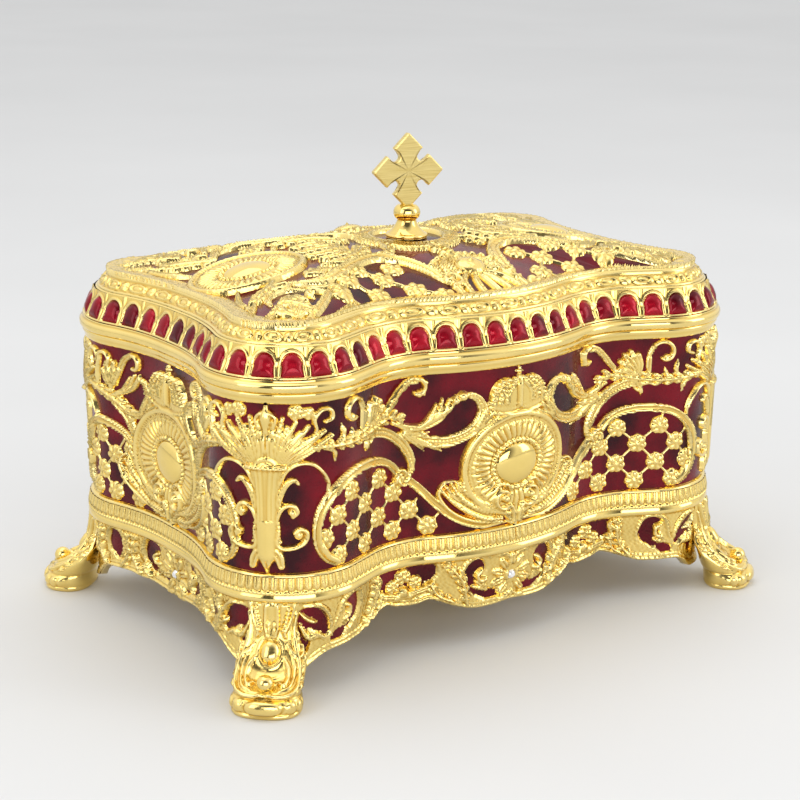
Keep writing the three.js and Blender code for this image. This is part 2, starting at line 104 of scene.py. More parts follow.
def lap_outline():
    """The quarter's values mirrored to a half and then to the whole lap."""
    u, x, y, nx, ny = quarter_outline()
    back = slice(-2, None, -1)
    half_u = np.concatenate([u, 2 * SIDE - u[back]])
    half = [np.concatenate([v, sign * v[back]]) for v, sign in ((x, 1), (y, -1), (nx, 1), (ny, -1))]
    lap_u = np.concatenate([half_u, half_u[1:] + 2 * SIDE])
    return lap_u, [np.concatenate([v, -v[1:]]) for v in half]


LAP_U, LAP_VALUES = lap_outline()


def outline(u):
    """x, y and the outward normal's x, y at u, for arrays of any shape."""
    place = np.mod(u, LAP)
    return [np.interp(place, LAP_U, values) for values in LAP_VALUES]


def offset_outline(u, offset):
    x, y, nx, ny = outline(u)
    return x + nx * offset, y + ny * offset


def quarter_place(u):
    half = np.mod(u, 2 * SIDE)
    return np.minimum(half, 2 * SIDE - half)


def smoothstep(x):
    x = np.clip(x, 0, 1)
    return x * x * (3 - 2 * x)


def way_along(across, up):
    """The way covered at each corner of a profile."""
    return running(np.hypot(np.diff(across), np.diff(up)))


class Ground:
    """A band round the casket, swept from a profile of (offset, z). b is the height, or the way along
    the profile from its start."""

    def __init__(self, profile, by_height=True):
        offset, z = np.array(profile, float).T
        self.offset = offset
        self.z = z
        self.b = z if by_height else way_along(offset, z)
        lean, rise = np.gradient(offset, self.b), np.gradient(z, self.b)
        size = np.hypot(lean, rise)
        self.out = rise / size
        self.up = -lean / size

    def __call__(self, u, b, h):
        offset = np.interp(b, self.b, self.offset) + h * np.interp(b, self.b, self.out)
        z = np.interp(b, self.b, self.z) + h * np.interp(b, self.b, self.up)
        return np.stack([*offset_outline(u, offset), z], -1)


# ---------------------------------------------------------------- relief drawing

BELOW = -0.8  # height of a relief where there is none
EDGE_FALL = 1.8  # how steeply a relief's edge drops away


def smooth(places, step=0.6):
    """A Catmull-Rom curve through the places, as points about a step apart."""
    places = np.array(places, float)
    if len(places) == 2:
        count = max(2, int(np.hypot(*(places[1] - places[0])) / step))
        return places[0] + np.linspace(0, 1, count)[:, None] * (places[1] - places[0])
    ends = np.vstack([2 * places[0] - places[1], places, 2 * places[-1] - places[-2]])
    points = []
    for p0, p1, p2, p3 in zip(ends, ends[1:], ends[2:], ends[3:]):
        count = max(2, int(np.hypot(*(p2 - p1)) / step))
        t = np.linspace(0, 1, count, endpoint=False)[:, None]
        points.append(0.5 * (2 * p1 + (p2 - p0) * t + (2 * p0 - 5 * p1 + 4 * p2 - p3) * t ** 2
                             + (3 * p1 - p0 - 3 * p2 + p3) * t ** 3))
    return np.vstack(points + [places[-1:]])


def spiral(centre, radius, start, turn, close=0.35, count=14):
    """Places on a spiral from its rim inwards, angles in degrees."""
    t = np.linspace(0, 1, count)
    angle = np.radians(start + turn * t)
    r = radius * (1 - (1 - close) * t)
    return np.stack([centre[0] + r * np.cos(angle), centre[1] + r * np.sin(angle)], -1)


def hump(q, middle=0.0, half=1.0):
    """A half-round hump: 1 at its middle, 0 from half its width on."""
    return np.sqrt(np.clip(1 - ((q - middle) / half) ** 2, 0, 1))


def bell(q, middle=0.0, width=1.0):
    """A soft ridge: 1 at its middle, about a third at a width from it."""
    return np.exp(-(((q - middle) / width) ** 2))


class Canvas:
    """Heights over a ground on a grid of places (a, b), both 2-D arrays, first index along a."""

    def __init__(self, a, b, height=BELOW):
        self.a = a
        self.b = b
        self.h = np.full(a.shape, height, float)

    def window(self, points, reach):
        low, high = points.min(0) - reach, points.max(0) + reach
        i = np.nonzero((self.a.max(1) >= low[0]) & (self.a.min(1) <= high[0]))[0]
        j = np.nonzero((self.b.max(0) >= low[1]) & (self.b.min(0) <= high[1]))[0]
        if not len(i) or not len(j):
            return None
        return slice(i[0], i[-1] + 1), slice(j[0], j[-1] + 1)

    def lift(self, where, height):
        self.h[where] = np.maximum(self.h[where], height)

    def cut(self, where, height):
        self.h[where] = np.minimum(self.h[where], height)

    def trace(self, places, reach):
        """The part of the grid near a curve: window, distance, way along, side and length."""
        line = smooth(places)
        where = self.window(line, reach)
        if where is None:
            return None
        a, b = self.a[where], self.b[where]
        near = np.full(a.shape, 1e9)
        along = np.zeros(a.shape)
        side = np.zeros(a.shape)
        start = 0.0
        for (ax, ay), (bx, by) in zip(line, line[1:]):
            dx, dy = bx - ax, by - ay
            size = math.hypot(dx, dy)
            if size < 1e-9:
                continue
            px, py = a - ax, b - ay
            t = np.clip((px * dx + py * dy) / size ** 2, 0, 1)
            distance = np.hypot(px - t * dx, py - t * dy)
            closer = distance < near
            near = np.where(closer, distance, near)
            along = np.where(closer, start + t * size, along)
            side = np.where(closer, np.sign(dx * py - dy * px) * distance, side)
            start += size
        return where, near, along, side, start


def rounded(q, height):
    return height * hump(q)


def leaf(q, height):
    """A leaf's back with a groove along its rib."""
    return height * hump(q) * (1 - 0.45 * bell(q / 0.2))


def ribbon(q, height):
    """A flat ribbon between two raised edges."""
    edge = bell(q, 0.78, 0.2)
    return height * (0.5 + 0.5 * edge) * np.clip((1 - q) * 6, 0, 1)


def taper_of(t, start, end, reach=0.3):
    rising = start + (1 - start) * smoothstep(t / reach)
    falling = end + (1 - end) * smoothstep((1 - t) / reach)
    return np.minimum(rising, falling)


def stroke(canvas, places, width, height, ends=(0.5, 0.3), section=rounded, reach=0.3):
    """A raised line of a given section; ends are its width at start and end as shares."""
    traced = canvas.trace(places, width / 2 + 1.0)
    if traced is None:
        return
    where, near, along, _, length = traced
    share = taper_of(along / length, *ends, reach)
    half = width / 2 * share
    inside = section(np.clip(near / half, 0, 1), height * np.sqrt(share))
    canvas.lift(where, np.where(near < half, inside, -(near - half) * EDGE_FALL))


def pearls(canvas, places, pitch, radius, base, offset=0.0):
    """A row of pearls along a curve, set off to one side of it."""
    traced = canvas.trace(places, abs(offset) + radius + 0.5)
    if traced is None:
        return
    where, _, along, side, length = traced
    count = max(1, round(length / pitch))
    step = length / count
    ds = np.mod(along, step) - step / 2
    r = np.hypot(ds, side - offset) / radius
    canvas.lift(where, np.where(r < 1, base + radius * 0.9 * hump(r), BELOW))


def window_cut(canvas, places, width, ends=(1, 1), reach=0.3):
    """Opens a gold ground down to the enamel along a curve."""
    traced = canvas.trace(places, width / 2 + 2.0)
    if traced is None:
        return
    where, near, along, _, length = traced
    half = width / 2 * taper_of(along / length, *ends, reach)
    canvas.cut(where, np.clip((near - half) * 2.2, BELOW, 9))


def direction_at(degrees):
    return np.array([math.cos(math.radians(degrees)), math.sin(math.radians(degrees))])


def turned(direction, degrees):
    c, s = direction_at(degrees)
    return np.array([direction[0] * c - direction[1] * s, direction[0] * s + direction[1] * c])


def frond(canvas, places, fingers, reach, width, height, sides=(1, -1), lean=48, swell=(0.55, 1.0)):
    """An acanthus leaf: a rib through the places with leaf fingers that lean forward off its sides."""
    line = smooth(places)
    for i in range(fingers):
        t = (i + 0.35) / fingers
        k = min(len(line) - 2, int(t * (len(line) - 1)))
        direction = (line[k + 1] - line[k]) / max(1e-6, np.hypot(*(line[k + 1] - line[k])))
        size = reach * np.interp(t, [0, 0.5, 1], [swell[0], swell[1], 0.55])
        for side in sides:
            middle = line[k] + turned(direction, side * lean) * size * 0.5
            tip = middle + turned(direction, side * lean * 0.3) * size * 0.55
            stroke(canvas, [line[k], middle, tip], width, height, (0.8, 0.25), leaf)
    stroke(canvas, places, width * 0.8, height * 1.1, (1, 0.3))


def fan(canvas, base, angles, lengths, width, height, root=0.25, bow=0.0, section=leaf):
    """Leaves spread from one place; each widens towards its rounded tip."""
    for angle, length in zip(angles, lengths):
        direction = direction_at(angle)
        across = turned(direction, 90) * bow * length * math.copysign(1, direction[0])
        places = [base, base + direction * length * 0.55 + across, base + direction * length]
        stroke(canvas, places, width, height, (root, 0.85), section, 0.6)


def oval_ring(centre, radii, count, start=0.0, end=2 * math.pi):
    angle = np.linspace(start, end, count)
    return np.stack([centre[0] + radii[0] * np.cos(angle), centre[1] + radii[1] * np.sin(angle)], -1)


def oval_coordinates(canvas, centre, long, broad, reach):
    centre = np.array(centre, float)
    where = canvas.window(np.array([centre - [long, broad], centre + [long, broad]]), reach)
    if where is None:
        return None
    a, b = canvas.a[where] - centre[0], canvas.b[where] - centre[1]
    return where, np.hypot(a / long, b / broad), np.arctan2(b / broad, a / long)


def dome(canvas, centre, radii, height, base=0.0):
    """A rounded knob on a base."""
    found = oval_coordinates(canvas, centre, *radii, 1.5)
    if found is None:
        return
    where, r, _ = found
    size = min(radii)
    shape = base + height * hump(r)
    canvas.lift(where, np.where(r < 1, shape, base - (r - 1) * size * EDGE_FALL))


def rosette(canvas, centre, radius=3.9, petals=7, height=1.7, turn=0.3):
    found = oval_coordinates(canvas, centre, radius * 1.05, radius, 1.5)
    if found is None:
        return
    where, r, angle = found
    lobe = np.abs(np.cos((angle + turn) * petals / 2))
    inner = np.abs(np.sin((angle + turn) * petals / 2))
    edge = 0.86 + 0.14 * np.sqrt(lobe)
    q = r / edge
    petal = (0.38 + 0.62 * lobe) * hump(q, 0.55, 0.47)
    heart = (0.7 + 0.3 * inner) * hump(r / 0.45)
    knob = hump(r / 0.2) * 1.2
    shape = height * np.maximum.reduce([np.where(q < 1, 0.12 + 0.72 * petal, 0), heart, knob])
    canvas.lift(where, np.where(q < 1, shape, -(q - 1) * radius * EDGE_FALL))


def medallion(canvas, centre, long, broad, leaves=40, base=1.3):
    """Flat rim, stippled band, ring of radial leaves, pearls and a polished boss."""
    found = oval_coordinates(canvas, centre, long, broad, 1.5)
    if found is None:
        return
    where, r, angle = found
    lobes = np.abs(np.cos(angle * leaves / 2))
    rays = hump(r, 0.66, 0.17) * (0.35 + 0.75 * lobes)
    rays *= 1 - 0.3 * bell(np.mod(angle * leaves / math.pi / 2, 1), 0.5, 0.12)
    rim = hump(r, 0.945, 0.055)
    inner_rim = hump(r, 0.855, 0.025) * 0.8
    boss = hump(r / 0.41)
    shape = base + np.maximum.reduce([1.4 * rays, 1.3 * rim, 0.7 * inner_rim, 1.6 * boss])
    canvas.lift(where, np.where(r < 1, shape, base - (r - 1) * broad * 3))
    for share, pitch, radius, rise in ((0.455, 1.9, 0.9, 0.8), (0.80, 1.7, 0.7, 0.45),
                                       (0.90, 1.5, 0.55, 0.4)):
        ring = oval_ring(centre, (long * share, broad * share), 49)
        pearls(canvas, ring, pitch, radius, base + rise)


# ---------------------------------------------------------------- relief of the walls

WALL_LOW = 48.4
WALL_HIGH = 113.7
WALL = Ground([(-1, WALL_LOW), (0, WALL_HIGH)])
PITCH = 0.5  # of the relief grids
MEDALLION_Z = 74


def crown(canvas, u):
    """Two-lobed mitre on a pearled band, with a small cross."""
    for side in (-1, 1):
        dome(canvas, (u + side * 6.2, 101.5), (7.0, 7.6), 1.0, 1.0)
        for reach, width in ((11.6, 1.0), (8.4, 0.9), (5.4, 0.9)):
            tip = (u + side * (reach - 4.6), 109 - reach * 0.05)
            rib = [(u + side * reach, 99), (u + side * reach * 0.92, 104), tip]
            stroke(canvas, rib, width, 3.1, (0.8, 0.6))
            pearls(canvas, rib, 1.5, 0.6, 2.5, side * -1.2)
    draw(stroke, canvas, [
        ([(u, 98), (u, 109.5)], 2.2, 3.2, (1, 0.8)),
        ([(u, 108.5), (u, 113.2)], 0.9, 1.8, (1, 1)),
        ([(u - 1.3, 111.6), (u + 1.3, 111.6)], 0.8, 1.8, (1, 1)),
    ])
    band = [(u - 14, 98.6), (u - 7, 97.4), (u, 97), (u + 7, 97.4), (u + 14, 98.6)]
    stroke(canvas, band, 4.4, 1.9, (0.9, 0.9), ribbon)
    pearls(canvas, band, 1.6, 0.7, 1.4)
    stroke(canvas, [(u - 13, 96), (u, 94.6), (u + 13, 96)], 1.2, 2.6, (0.8, 0.8))


def centrepiece(canvas, u):
    """Medallion, crown, wings and volutes at the middle of a side."""
    medallion(canvas, (u, MEDALLION_Z), 25.5, 21.5)
    crown(canvas, u)
    for side in (-1, 1):
        def at(places):
            return [(u + side * du, z) for du, z in places]

        for k in range(6):  # wing feathers that follow the medallion's lower edge
            low, out = 52.6 + 1.5 * k, 33.5 - 2.3 * k
            feather = at([(6.5, low - 0.3), (14, low + 0.4), (22, low + 4.2 + 0.3 * k), (28.5 - k, low + 9),
                          (out, 67 + 0.7 * k)])
            stroke(canvas, feather, 2.5, 2.6 - 0.15 * k, (0.5, 0.7), leaf)
            if k % 2 == 0:
                pearls(canvas, feather, 1.6, 0.75, 2.4 - 0.12 * k, 0)
        stroke(canvas, at([(8, 51), (14, 51.2), (24, 54.5), (31, 59.5), (34.5, 65.5), (32, 69.5),
                           (28, 70)]), 2.0, 2.4, (0.4, 0.4))
        volute = spiral((u + side * 6.3, 60.6), 4.6, 250 if side > 0 else 290, side * 330, 0.42)
        stroke(canvas, np.vstack([at([(1.2, 50), (1.6, 54), (3.0, 57)]), volute]), 1.9, 3.9, (0.7, 0.8))
        dome(canvas, (u + side * 6.2, 60.8), (1.9, 1.9), 3.6, 1.6)
        stroke(canvas, at([(2.2, 49.5), (4, 53.5), (9, 56.5), (15, 57.5), (21, 59.5)]), 2.0, 3.2,
               (0.9, 0.3), leaf)
        stroke(canvas, at([(2, 62), (4.5, 65.8), (9, 66.4), (12, 63), (14.5, 61.5)]), 1.5, 3.4, (0.5, 0.3))
        fan(canvas, (u + side * 2.2, 50.0), [90 - side * 8, 90 - side * 40], [5.5, 6.5], 2.0, 2.8)
        # shoulder leaves between medallion and crown
        fan(canvas, (u + side * 20.5, 88.5), [90 + side * 62, 90 + side * 46, 90 + side * 30],
            [12, 11.5, 10], 2.6, 2.6, 0.5)
        stroke(canvas, at([(21, 89), (17.5, 94), (15, 98.2)]), 2.4, 2.8, (0.5, 0.6), leaf)
    stroke(canvas, [(u, 48.4), (u, 60)], 2.0, 2.4, (1.2, 0.4))


def lower_sweep(canvas, u, side):
    """The broad double line that runs out along the lower edge and up to the lattice."""
    places = [(u + side * du, z) for du, z in
              ((3, 49.6), (12, 50.3), (20, 51.8), (28, 55.4), (35, 61), (42, 68), (47.5, 72.6))]
    stroke(canvas, places, 3.6, 2.6, (0.35, 1.0), ribbon)


def lattice(canvas, places, bars, bar=(0.95, 0.8), flower=(4.1,)):
    """Thin bars with a rosette on each crossing."""
    for start, end in bars:
        stroke(canvas, [start, end], *bar, (1, 1))
    for place in places:
        rosette(canvas, place, *flower)


def neighbours(places, reach, stretch=1.0):
    """The pairs of places nearer to each other than a reach."""
    return [(a, b) for a, b in itertools.combinations(places, 2)
            if math.hypot(a[0] - b[0], (a[1] - b[1]) * stretch) < reach]


def draw(tool, canvas, rows):
    """The same drawing tool, once for each row of its arguments."""
    for row in rows:
        tool(canvas, *row)


def scroll(canvas, places, width=2.6, height=2.2, beads=True, ends=(0.5, 0.5)):
    """A ribbon scroll, pearled along its middle where it is broad enough."""
    stroke(canvas, places, width, height, ends, ribbon)
    if beads:
        pearls(canvas, places, 1.45, 0.62, height * 0.5)


def front_field(canvas):
    """Scrollwork between the medallion and the corner, on the long sides."""
    frame = [(51.5, 73.5), (53.5, 77.5), (58, 81.4), (65, 83.8), (75, 84.5), (85, 82.6), (93, 77),
             (97.4, 69.5), (98, 60), (95, 53.5), (90.5, 50.6)]
    rows = [(38.5, 52.6), (54, 53), (70.5, 52.6), (46.5, 60), (62, 60.4), (79.5, 60.4), (54, 68.6),
            (71, 68.8), (88.4, 68.6), (61.8, 76), (80.5, 76.4), (87.6, 52.6), (94.5, 60.4)]
    bars = neighbours(rows[:11], 13) + [((79.5, 60.4), (87.6, 52.6)), ((88.4, 68.6), (95, 61)),
                                        ((88.4, 68.6), (93, 73)), ((80.5, 76.4), (82, 82)),
                                        ((46.5, 60), (43, 64)), ((38.5, 52.6), (34, 57))]
    lattice(canvas, rows, bars)
    stroke(canvas, frame, 3.6, 2.8, (0.8, 0.6), ribbon)
    stroke(canvas, [(96.5, 60), (94, 54.5), (89, 51)], 3.4, 2.6, (0.5, 1))
    rosette(canvas, (88, 52.4), 3.6, 6, 2.2)
    lower_sweep(canvas, 0, 1)
    rosette(canvas, (50.5, 74.2), 3.9, 6, 2.4)
    for start in (60, 150, 240, 330):
        stroke(canvas, spiral((50.5, 74.2), 3.6, start, 120, 0.4), 1.3, 3.0, (0.8, 0.5))
    # pearled stem that rises from the volute to the branch
    scroll(canvas, [(76, 95.6), (66, 95.4), (58, 93), (51.5, 88.4), (47.4, 83), (45.8, 77.6), (47.4, 73.6)],
           4.2, 2.5)
    # scroll from the medallion's shoulder, open towards the crown
    scroll(canvas, [(53, 91.5), (46, 89.2), (39, 87.4), (31, 86.8), (23.5, 88.8), (18.2, 93), (16.6, 98),
                    (18.6, 102.4), (22.6, 104.4), (26.6, 103.6)], 4.4, 2.4, True, (0.6, 0.5))
    stroke(canvas, [(48, 87.6), (40, 85.4), (31, 84.6), (24, 86.2)], 1.5, 1.8, (0.3, 0.3))
    for dx, dz, size in ((25.2, 104.2, 1.9), (28.2, 102.8, 1.6)):
        dome(canvas, (dx, dz), (size, size * 0.9), 1.6, 1.0)
    # leaf that lies back over the scroll, its tips spread upwards
    for tip, mid in (((28.0, 104.6), (31.5, 99.0)), ((30.6, 103.6), (33.6, 98.4)),
                     ((33.6, 103.8), (35.4, 98.6)), ((36.0, 101.8), (38.2, 97.6))):
        stroke(canvas, [(50, 92.4), (42, 94.0), mid, tip], 2.1, 2.6, (0.7, 0.6), leaf)
    stroke(canvas, [(55, 96.5), (47, 93.5), (40, 93.6), (34, 96.5), (29.4, 101.8)], 3.2, 2.4, (0.5, 0.3),
           leaf)
    for tip in ((40.4, 83.2), (36.4, 84.6), (33.2, 82.6), (38.4, 90.6)):
        stroke(canvas, [(51, 91.6), ((tip[0] + 50) / 2 - 1, (tip[1] + 88.6) / 2 + 1), tip], 2.3, 2.5,
               (0.7, 0.2), leaf)
    # branch of leaves along the top, from the torch to the scroll
    frond(canvas, [(101, 97.4), (90, 96.6), (80, 96.4), (71, 97.2), (62, 98.8), (55, 99.6), (49.5, 97.2)],
          11, 6.2, 1.9, 2.3, lean=36)
    stroke(canvas, [(70, 95), (71.2, 92.4), (71.4, 89.6)], 2.2, 1.8, (0.5, 0.2), leaf)
    stroke(canvas, [(66.5, 95.4), (68.8, 92.8), (70.8, 91.4)], 1.4, 1.6, (0.5, 0.3))
    # shell
    fan(canvas, (70.5, 98), [160, 143, 127, 112, 96], [9.4, 11, 11.6, 11.4, 9.4], 3.3, 2.5, 0.4, 0.05)
    pearls(canvas, [(62.6, 103), (66, 106.6), (70, 107.6)], 1.8, 0.7, 1.9)
    # upper scroll and its curl
    scroll(canvas, [(61.5, 99.6), (57, 104), (52.6, 108.8), (48.4, 111.9), (44.6, 112.2)], 2.6, 2.2, True,
           (0.4, 1.0))
    stroke(canvas, spiral((43.9, 109.2), 3.4, 85, 210, 0.75), 2.4, 2.2, (1, 0.9))
    dome(canvas, (43.4, 106.6), (1.7, 1.7), 2.2)
    for t in range(4):
        dome(canvas, (40.4 + 0.35 * t, 111.0 - 1.5 * t), (0.9, 0.9), 1.6, 0.6)
    # curl beside the shell
    stroke(canvas, [(74.6, 98), (74.2, 103), (74.6, 107.4), (76.6, 111)], 1.9, 2.0, (0.6, 0.9), ribbon)
    stroke(canvas, spiral((81, 107.4), 5.6, 140, -250, 0.42), 2.1, 2.1, (0.8, 0.9))
    dome(canvas, (82.2, 105.8), (1.5, 1.4), 1.9)
    draw(stroke, canvas, [
        ([(88, 97), (86.6, 100), (87.4, 104)], 1.8, 1.9, (0.8, 0.3), leaf),
        ([(84, 97), (82.2, 98.6), (81.6, 101.2)], 1.6, 1.9, (0.8, 0.3), leaf),
        ([(98, 97), (91.5, 94.6), (90.2, 90.2)], 1.8, 1.8, (0.8, 0.3), leaf),
    ])


def torch(canvas):
    """Fluted torch on the corner, with its leaf fan, tendrils and trefoil foot."""
    u = TORCH_U
    for side in (-1, 1):
        def at(places):
            return [(u + side * du, z) for du, z in places]

        stroke(canvas, at([(3.5, 79), (5.2, 84), (7.5, 88.6), (12, 91.2), (17, 90.6), (21, 87),
                           (23.6, 82.6), (23.4, 79.4)]), 1.9, 2.2, (0.6, 0.5))
        pearls(canvas, at([(17, 90.4), (21, 86.8), (23.4, 82.6)]), 1.5, 0.55, 1.5)
        stroke(canvas, at([(3.6, 70), (4.6, 66), (3.8, 61), (5.6, 58.6), (10, 58.6), (14, 60.6), (15, 64),
                           (12.6, 66), (10.4, 64.4)]), 2.1, 2.4, (0.5, 0.9))
        pearls(canvas, at([(4.4, 69), (4.6, 64.6), (5.2, 60.4)]), 1.5, 0.62, 1.6)
        dome(canvas, (u + side * 11.8, 63.6), (2.1, 2.0), 2.4)
        stroke(canvas, at([(3.4, 66), (4.6, 72), (7, 75), (10, 75), (11.4, 72.6), (9.6, 70.8)]), 2.1, 2.4,
               (0.4, 0.9))
        dome(canvas, (u + side * 9.4, 72.4), (1.7, 1.7), 2.4)
        for tip, bend in (((24.5, 100.8), (14, 95)), ((21.5, 103), (12, 96.5)), ((17.8, 101.6), (10, 97)),
                          ((15.4, 105.2), (8.6, 97)), ((12.4, 103.2), (7, 97.5)), ((10.8, 107), (6, 98)),
                          ((7.6, 105.2), (4.6, 98)), ((6.0, 108.6), (3.4, 98)), ((3.0, 107.2), (1.6, 98)),
                          ((0.2, 106.4), (0.1, 98))):
            stroke(canvas, at([(1.6 + tip[0] * 0.14, 89.6), bend, tip]), 3.0, 3.1, (0.5, 0.55), leaf, 0.5)
        rosette(canvas, (u + side * 10.8, 110.6), 3.2, 6, 1.8)
        rosette(canvas, (u + side * 15.4, 110.0), 2.6, 5, 1.6)
        draw(stroke, canvas, [
            (at([(16, 100), (18.4, 103.2), (17.6, 107.6), (20.4, 111), (24, 110.6), (24.8, 107.4),
                 (22, 106.2)]), 1.8, 2.0, (0.4, 0.8)),
            (at([(2.0, 58.6), (4.4, 55.4), (5.4, 51.6)]), 4.2, 2.8, (0.7, 0.8), leaf),
            (at([(3.6, 72), (5.2, 79), (7.6, 83.6), (10.2, 85), (11.6, 83.4)]), 2.5, 2.6, (0.5, 0.6),
             leaf),
        ])
    cup = [(u, 89.5), (u, 80), (u, 68), (u, 56)]
    where, near, along, lateral, _ = canvas.trace(cup, 9)
    half = np.interp(along, [0, 4, 12, 20, 33.5], [6.9, 5.6, 4.8, 4.5, 4.1])
    flute = 0.82 + 0.18 * np.abs(np.cos(math.pi * lateral / half * 3.5))
    body = 3.4 * hump(near / half) * np.where(along < 20, flute, 1)
    canvas.lift(where, np.where(near < half, body, -(near - half) * EDGE_FALL))
    stroke(canvas, [(u - 6.6, 90), (u + 6.6, 90)], 2.6, 3.8, (0.9, 0.9))
    pearls(canvas, [(u - 6, 90), (u + 6, 90)], 1.7, 0.8, 3.4)
    draw(stroke, canvas, [
        ([(u, 57.5), (u, 53), (u, 48.6)], 5.4, 3.2, (0.8, 0.2), leaf, 0.6),
        ([(u, 104), (u, 109), (u, 113.6)], 5.2, 3.4, (0.6, 0.35), rounded, 0.5),
        ([(u - 3.2, 105), (u - 3.4, 109), (u, 112)], 1.4, 2.8, (0.6, 0.4)),
        ([(u + 3.2, 105), (u + 3.4, 109), (u, 112)], 1.4, 2.8, (0.6, 0.4)),
    ])


def side_field(canvas):
    """Scrollwork between the corner and the medallion of the short sides."""
    frame = [(160, 76.6), (155, 79.6), (148, 81.6), (140.5, 81.6), (134, 77), (130.4, 69), (129.8, 60),
             (132, 53.6), (137, 50.6)]
    rows = [(142, 76), (150.5, 68.4), (135.4, 68), (157.4, 60.4), (142.6, 60.6), (163.5, 52.4), (150, 52.6),
            (138, 52.8)]
    bars = neighbours(rows[:7], 13) + [((142.6, 60.6), (137, 53.4)), ((150.5, 68.4), (156, 76))]
    lattice(canvas, rows, bars)
    stroke(canvas, frame, 3.2, 2.7, (0.8, 0.6), ribbon)
    rosette(canvas, (138, 52.4), 3.4, 6, 2.2)
    lower_sweep(canvas, SIDE, -0.62)
    rosette(canvas, (160.4, 73.8), 3.4, 6, 2.4)
    frond(canvas, [(133, 97.4), (141, 95.8), (149, 93.6), (157, 90.4), (163.6, 86.4)], 8, 5.6, 1.9, 2.3,
          lean=36)
    scroll(canvas, [(148, 93.4), (155, 89.6), (160.4, 84.6), (162.6, 79), (161.6, 75.4)], 3.8, 2.5)
    scroll(canvas, [(158, 89.6), (165, 88), (170.4, 91), (172.6, 96.6), (170.6, 101.4), (166.4, 103.2)],
           3.4, 2.4)
    for tip, bend in (((166.6, 104.4), (162, 98)), ((163.6, 104.0), (159.6, 98.4)),
                      ((160.6, 102.4), (157, 97))):
        stroke(canvas, [(150, 93.6), bend, tip], 2.1, 2.5, (0.7, 0.5), leaf)
    fan(canvas, (150, 96), [120, 100, 80, 62], [8.6, 11, 11.4, 10], 3.0, 2.4, 0.4)
    scroll(canvas, [(152.6, 98), (154.6, 104), (158, 109.6), (162, 112)], 2.3, 2.1, False, (0.4, 1.0))
    draw(stroke, canvas, [
        (spiral((163.4, 108.8), 3.3, 100, -210, 0.7), 2.2, 2.1, (1, 0.8)),
        ([(141.6, 97), (141.8, 103), (143.2, 108)], 1.8, 2.0, (0.6, 0.9)),
        (spiral((146.6, 107.6), 3.9, 160, -240, 0.5), 1.9, 2.1, (0.9, 0.9)),
    ])


def wall_quarter():
    """Heights over the enamel for a quarter of the walls."""
    columns = int(round(SIDE / PITCH)) + 1
    rows = int(round((WALL_HIGH - WALL_LOW) / PITCH)) + 1
    a, b = np.meshgrid(np.linspace(0, SIDE, columns), np.linspace(WALL_LOW, WALL_HIGH, rows), indexing="ij")
    canvas = Canvas(a, b)
    front_field(canvas)
    side_field(canvas)
    centrepiece(canvas, 0)
    centrepiece(canvas, SIDE)
    torch(canvas)
    return canvas


# ---------------------------------------------------------------- relief of the skirt and lotus band

SKIRT_TOP = 37.2
SKIRT = Ground([(-2.3, 6), (-2.3, 25), (-2.0, 29), (-1.0, 36.8), (-0.95, 38)])
EDGE = smooth([(-8, 15.6), (0, 16), (9, 15.2), (18, 15.2), (27, 17.6), (36, 21), (42, 19.8), (47, 19.8),
               (52, 20.6), (57, 22), (67, 18.6), (74, 16.4), (80, 16), (92, 15.4), (98, 13), (103, 9.4),
               (108, 8.4), (115, 8), (122, 8.4), (128, 9.2), (134, 13), (142, 18), (155, 19), (163, 18.2),
               (170, 18.4), (180, 17.6), (188, 18), (196, 18)])


def skirt_edge(u):
    return np.interp(quarter_place(u), EDGE[:, 0], EDGE[:, 1])


def blossom(canvas, u, z=26.8):
    """Ten-petalled flower round a stone."""
    for k in range(10):
        angle = math.radians(36 * k + 18)
        tip = (u + 8.6 * math.cos(angle), z + 8.0 * math.sin(angle))
        root = (u + 2.8 * math.cos(angle), z + 2.8 * math.sin(angle))
        stroke(canvas, [root, tip], 4.4, 2.5, (0.45, 0.75), leaf, 0.7)
    dome(canvas, (u, z), (3.4, 3.4), 0.8, 1.6)
    stroke(canvas, oval_ring((u, z), (2.75, 2.75), 20), 0.9, 2.9, (1, 1))
    socket = canvas.window(np.array([[u, z]]), 2.1)
    canvas.cut(socket, np.full(canvas.h[socket].shape, 1.2))


def plume(canvas, root, tip, bend, fingers, reach, width=1.75, height=3.0, lean=42):
    """An acanthus plume from root to tip, bowed to one side."""
    root, tip = np.array(root, float), np.array(tip, float)
    middle = (root + tip) / 2 + turned(tip - root, 90) * bend
    frond(canvas, [root, middle, tip], fingers, reach, width, height, lean=lean)


def sprig(canvas, u, z):
    """Small flower spray on an open window."""
    window_cut(canvas, [(u - 9.5, z + 4.6), (u + 9.5, z + 4.6)], 9.0)
    window_cut(canvas, [(u - 6.5, z + 0.6), (u + 6.5, z + 0.6)], 6.0)
    draw(rosette, canvas, [
        ((u + 0.4, z + 3.8), 3.4, 6, 2.2),
        ((u - 5.0, z + 0.6), 2.9, 6, 2.0),
        ((u + 5.0, z + 0.2), 2.9, 6, 2.0),
    ])
    for side in (-1, 1):
        stroke(canvas, [(u, z - 5), (u + side * 6, z - 3.4), (u + side * 12.5, z - 1.8)], 2.6, 2.1,
               (0.8, 0.3), leaf)
        dome(canvas, (u + side * 3.0, z - 4.6), (2.0, 1.8), 1.8, 0.4)
    dome(canvas, (u, z - 3.0), (2.4, 2.2), 1.8, 0.6)


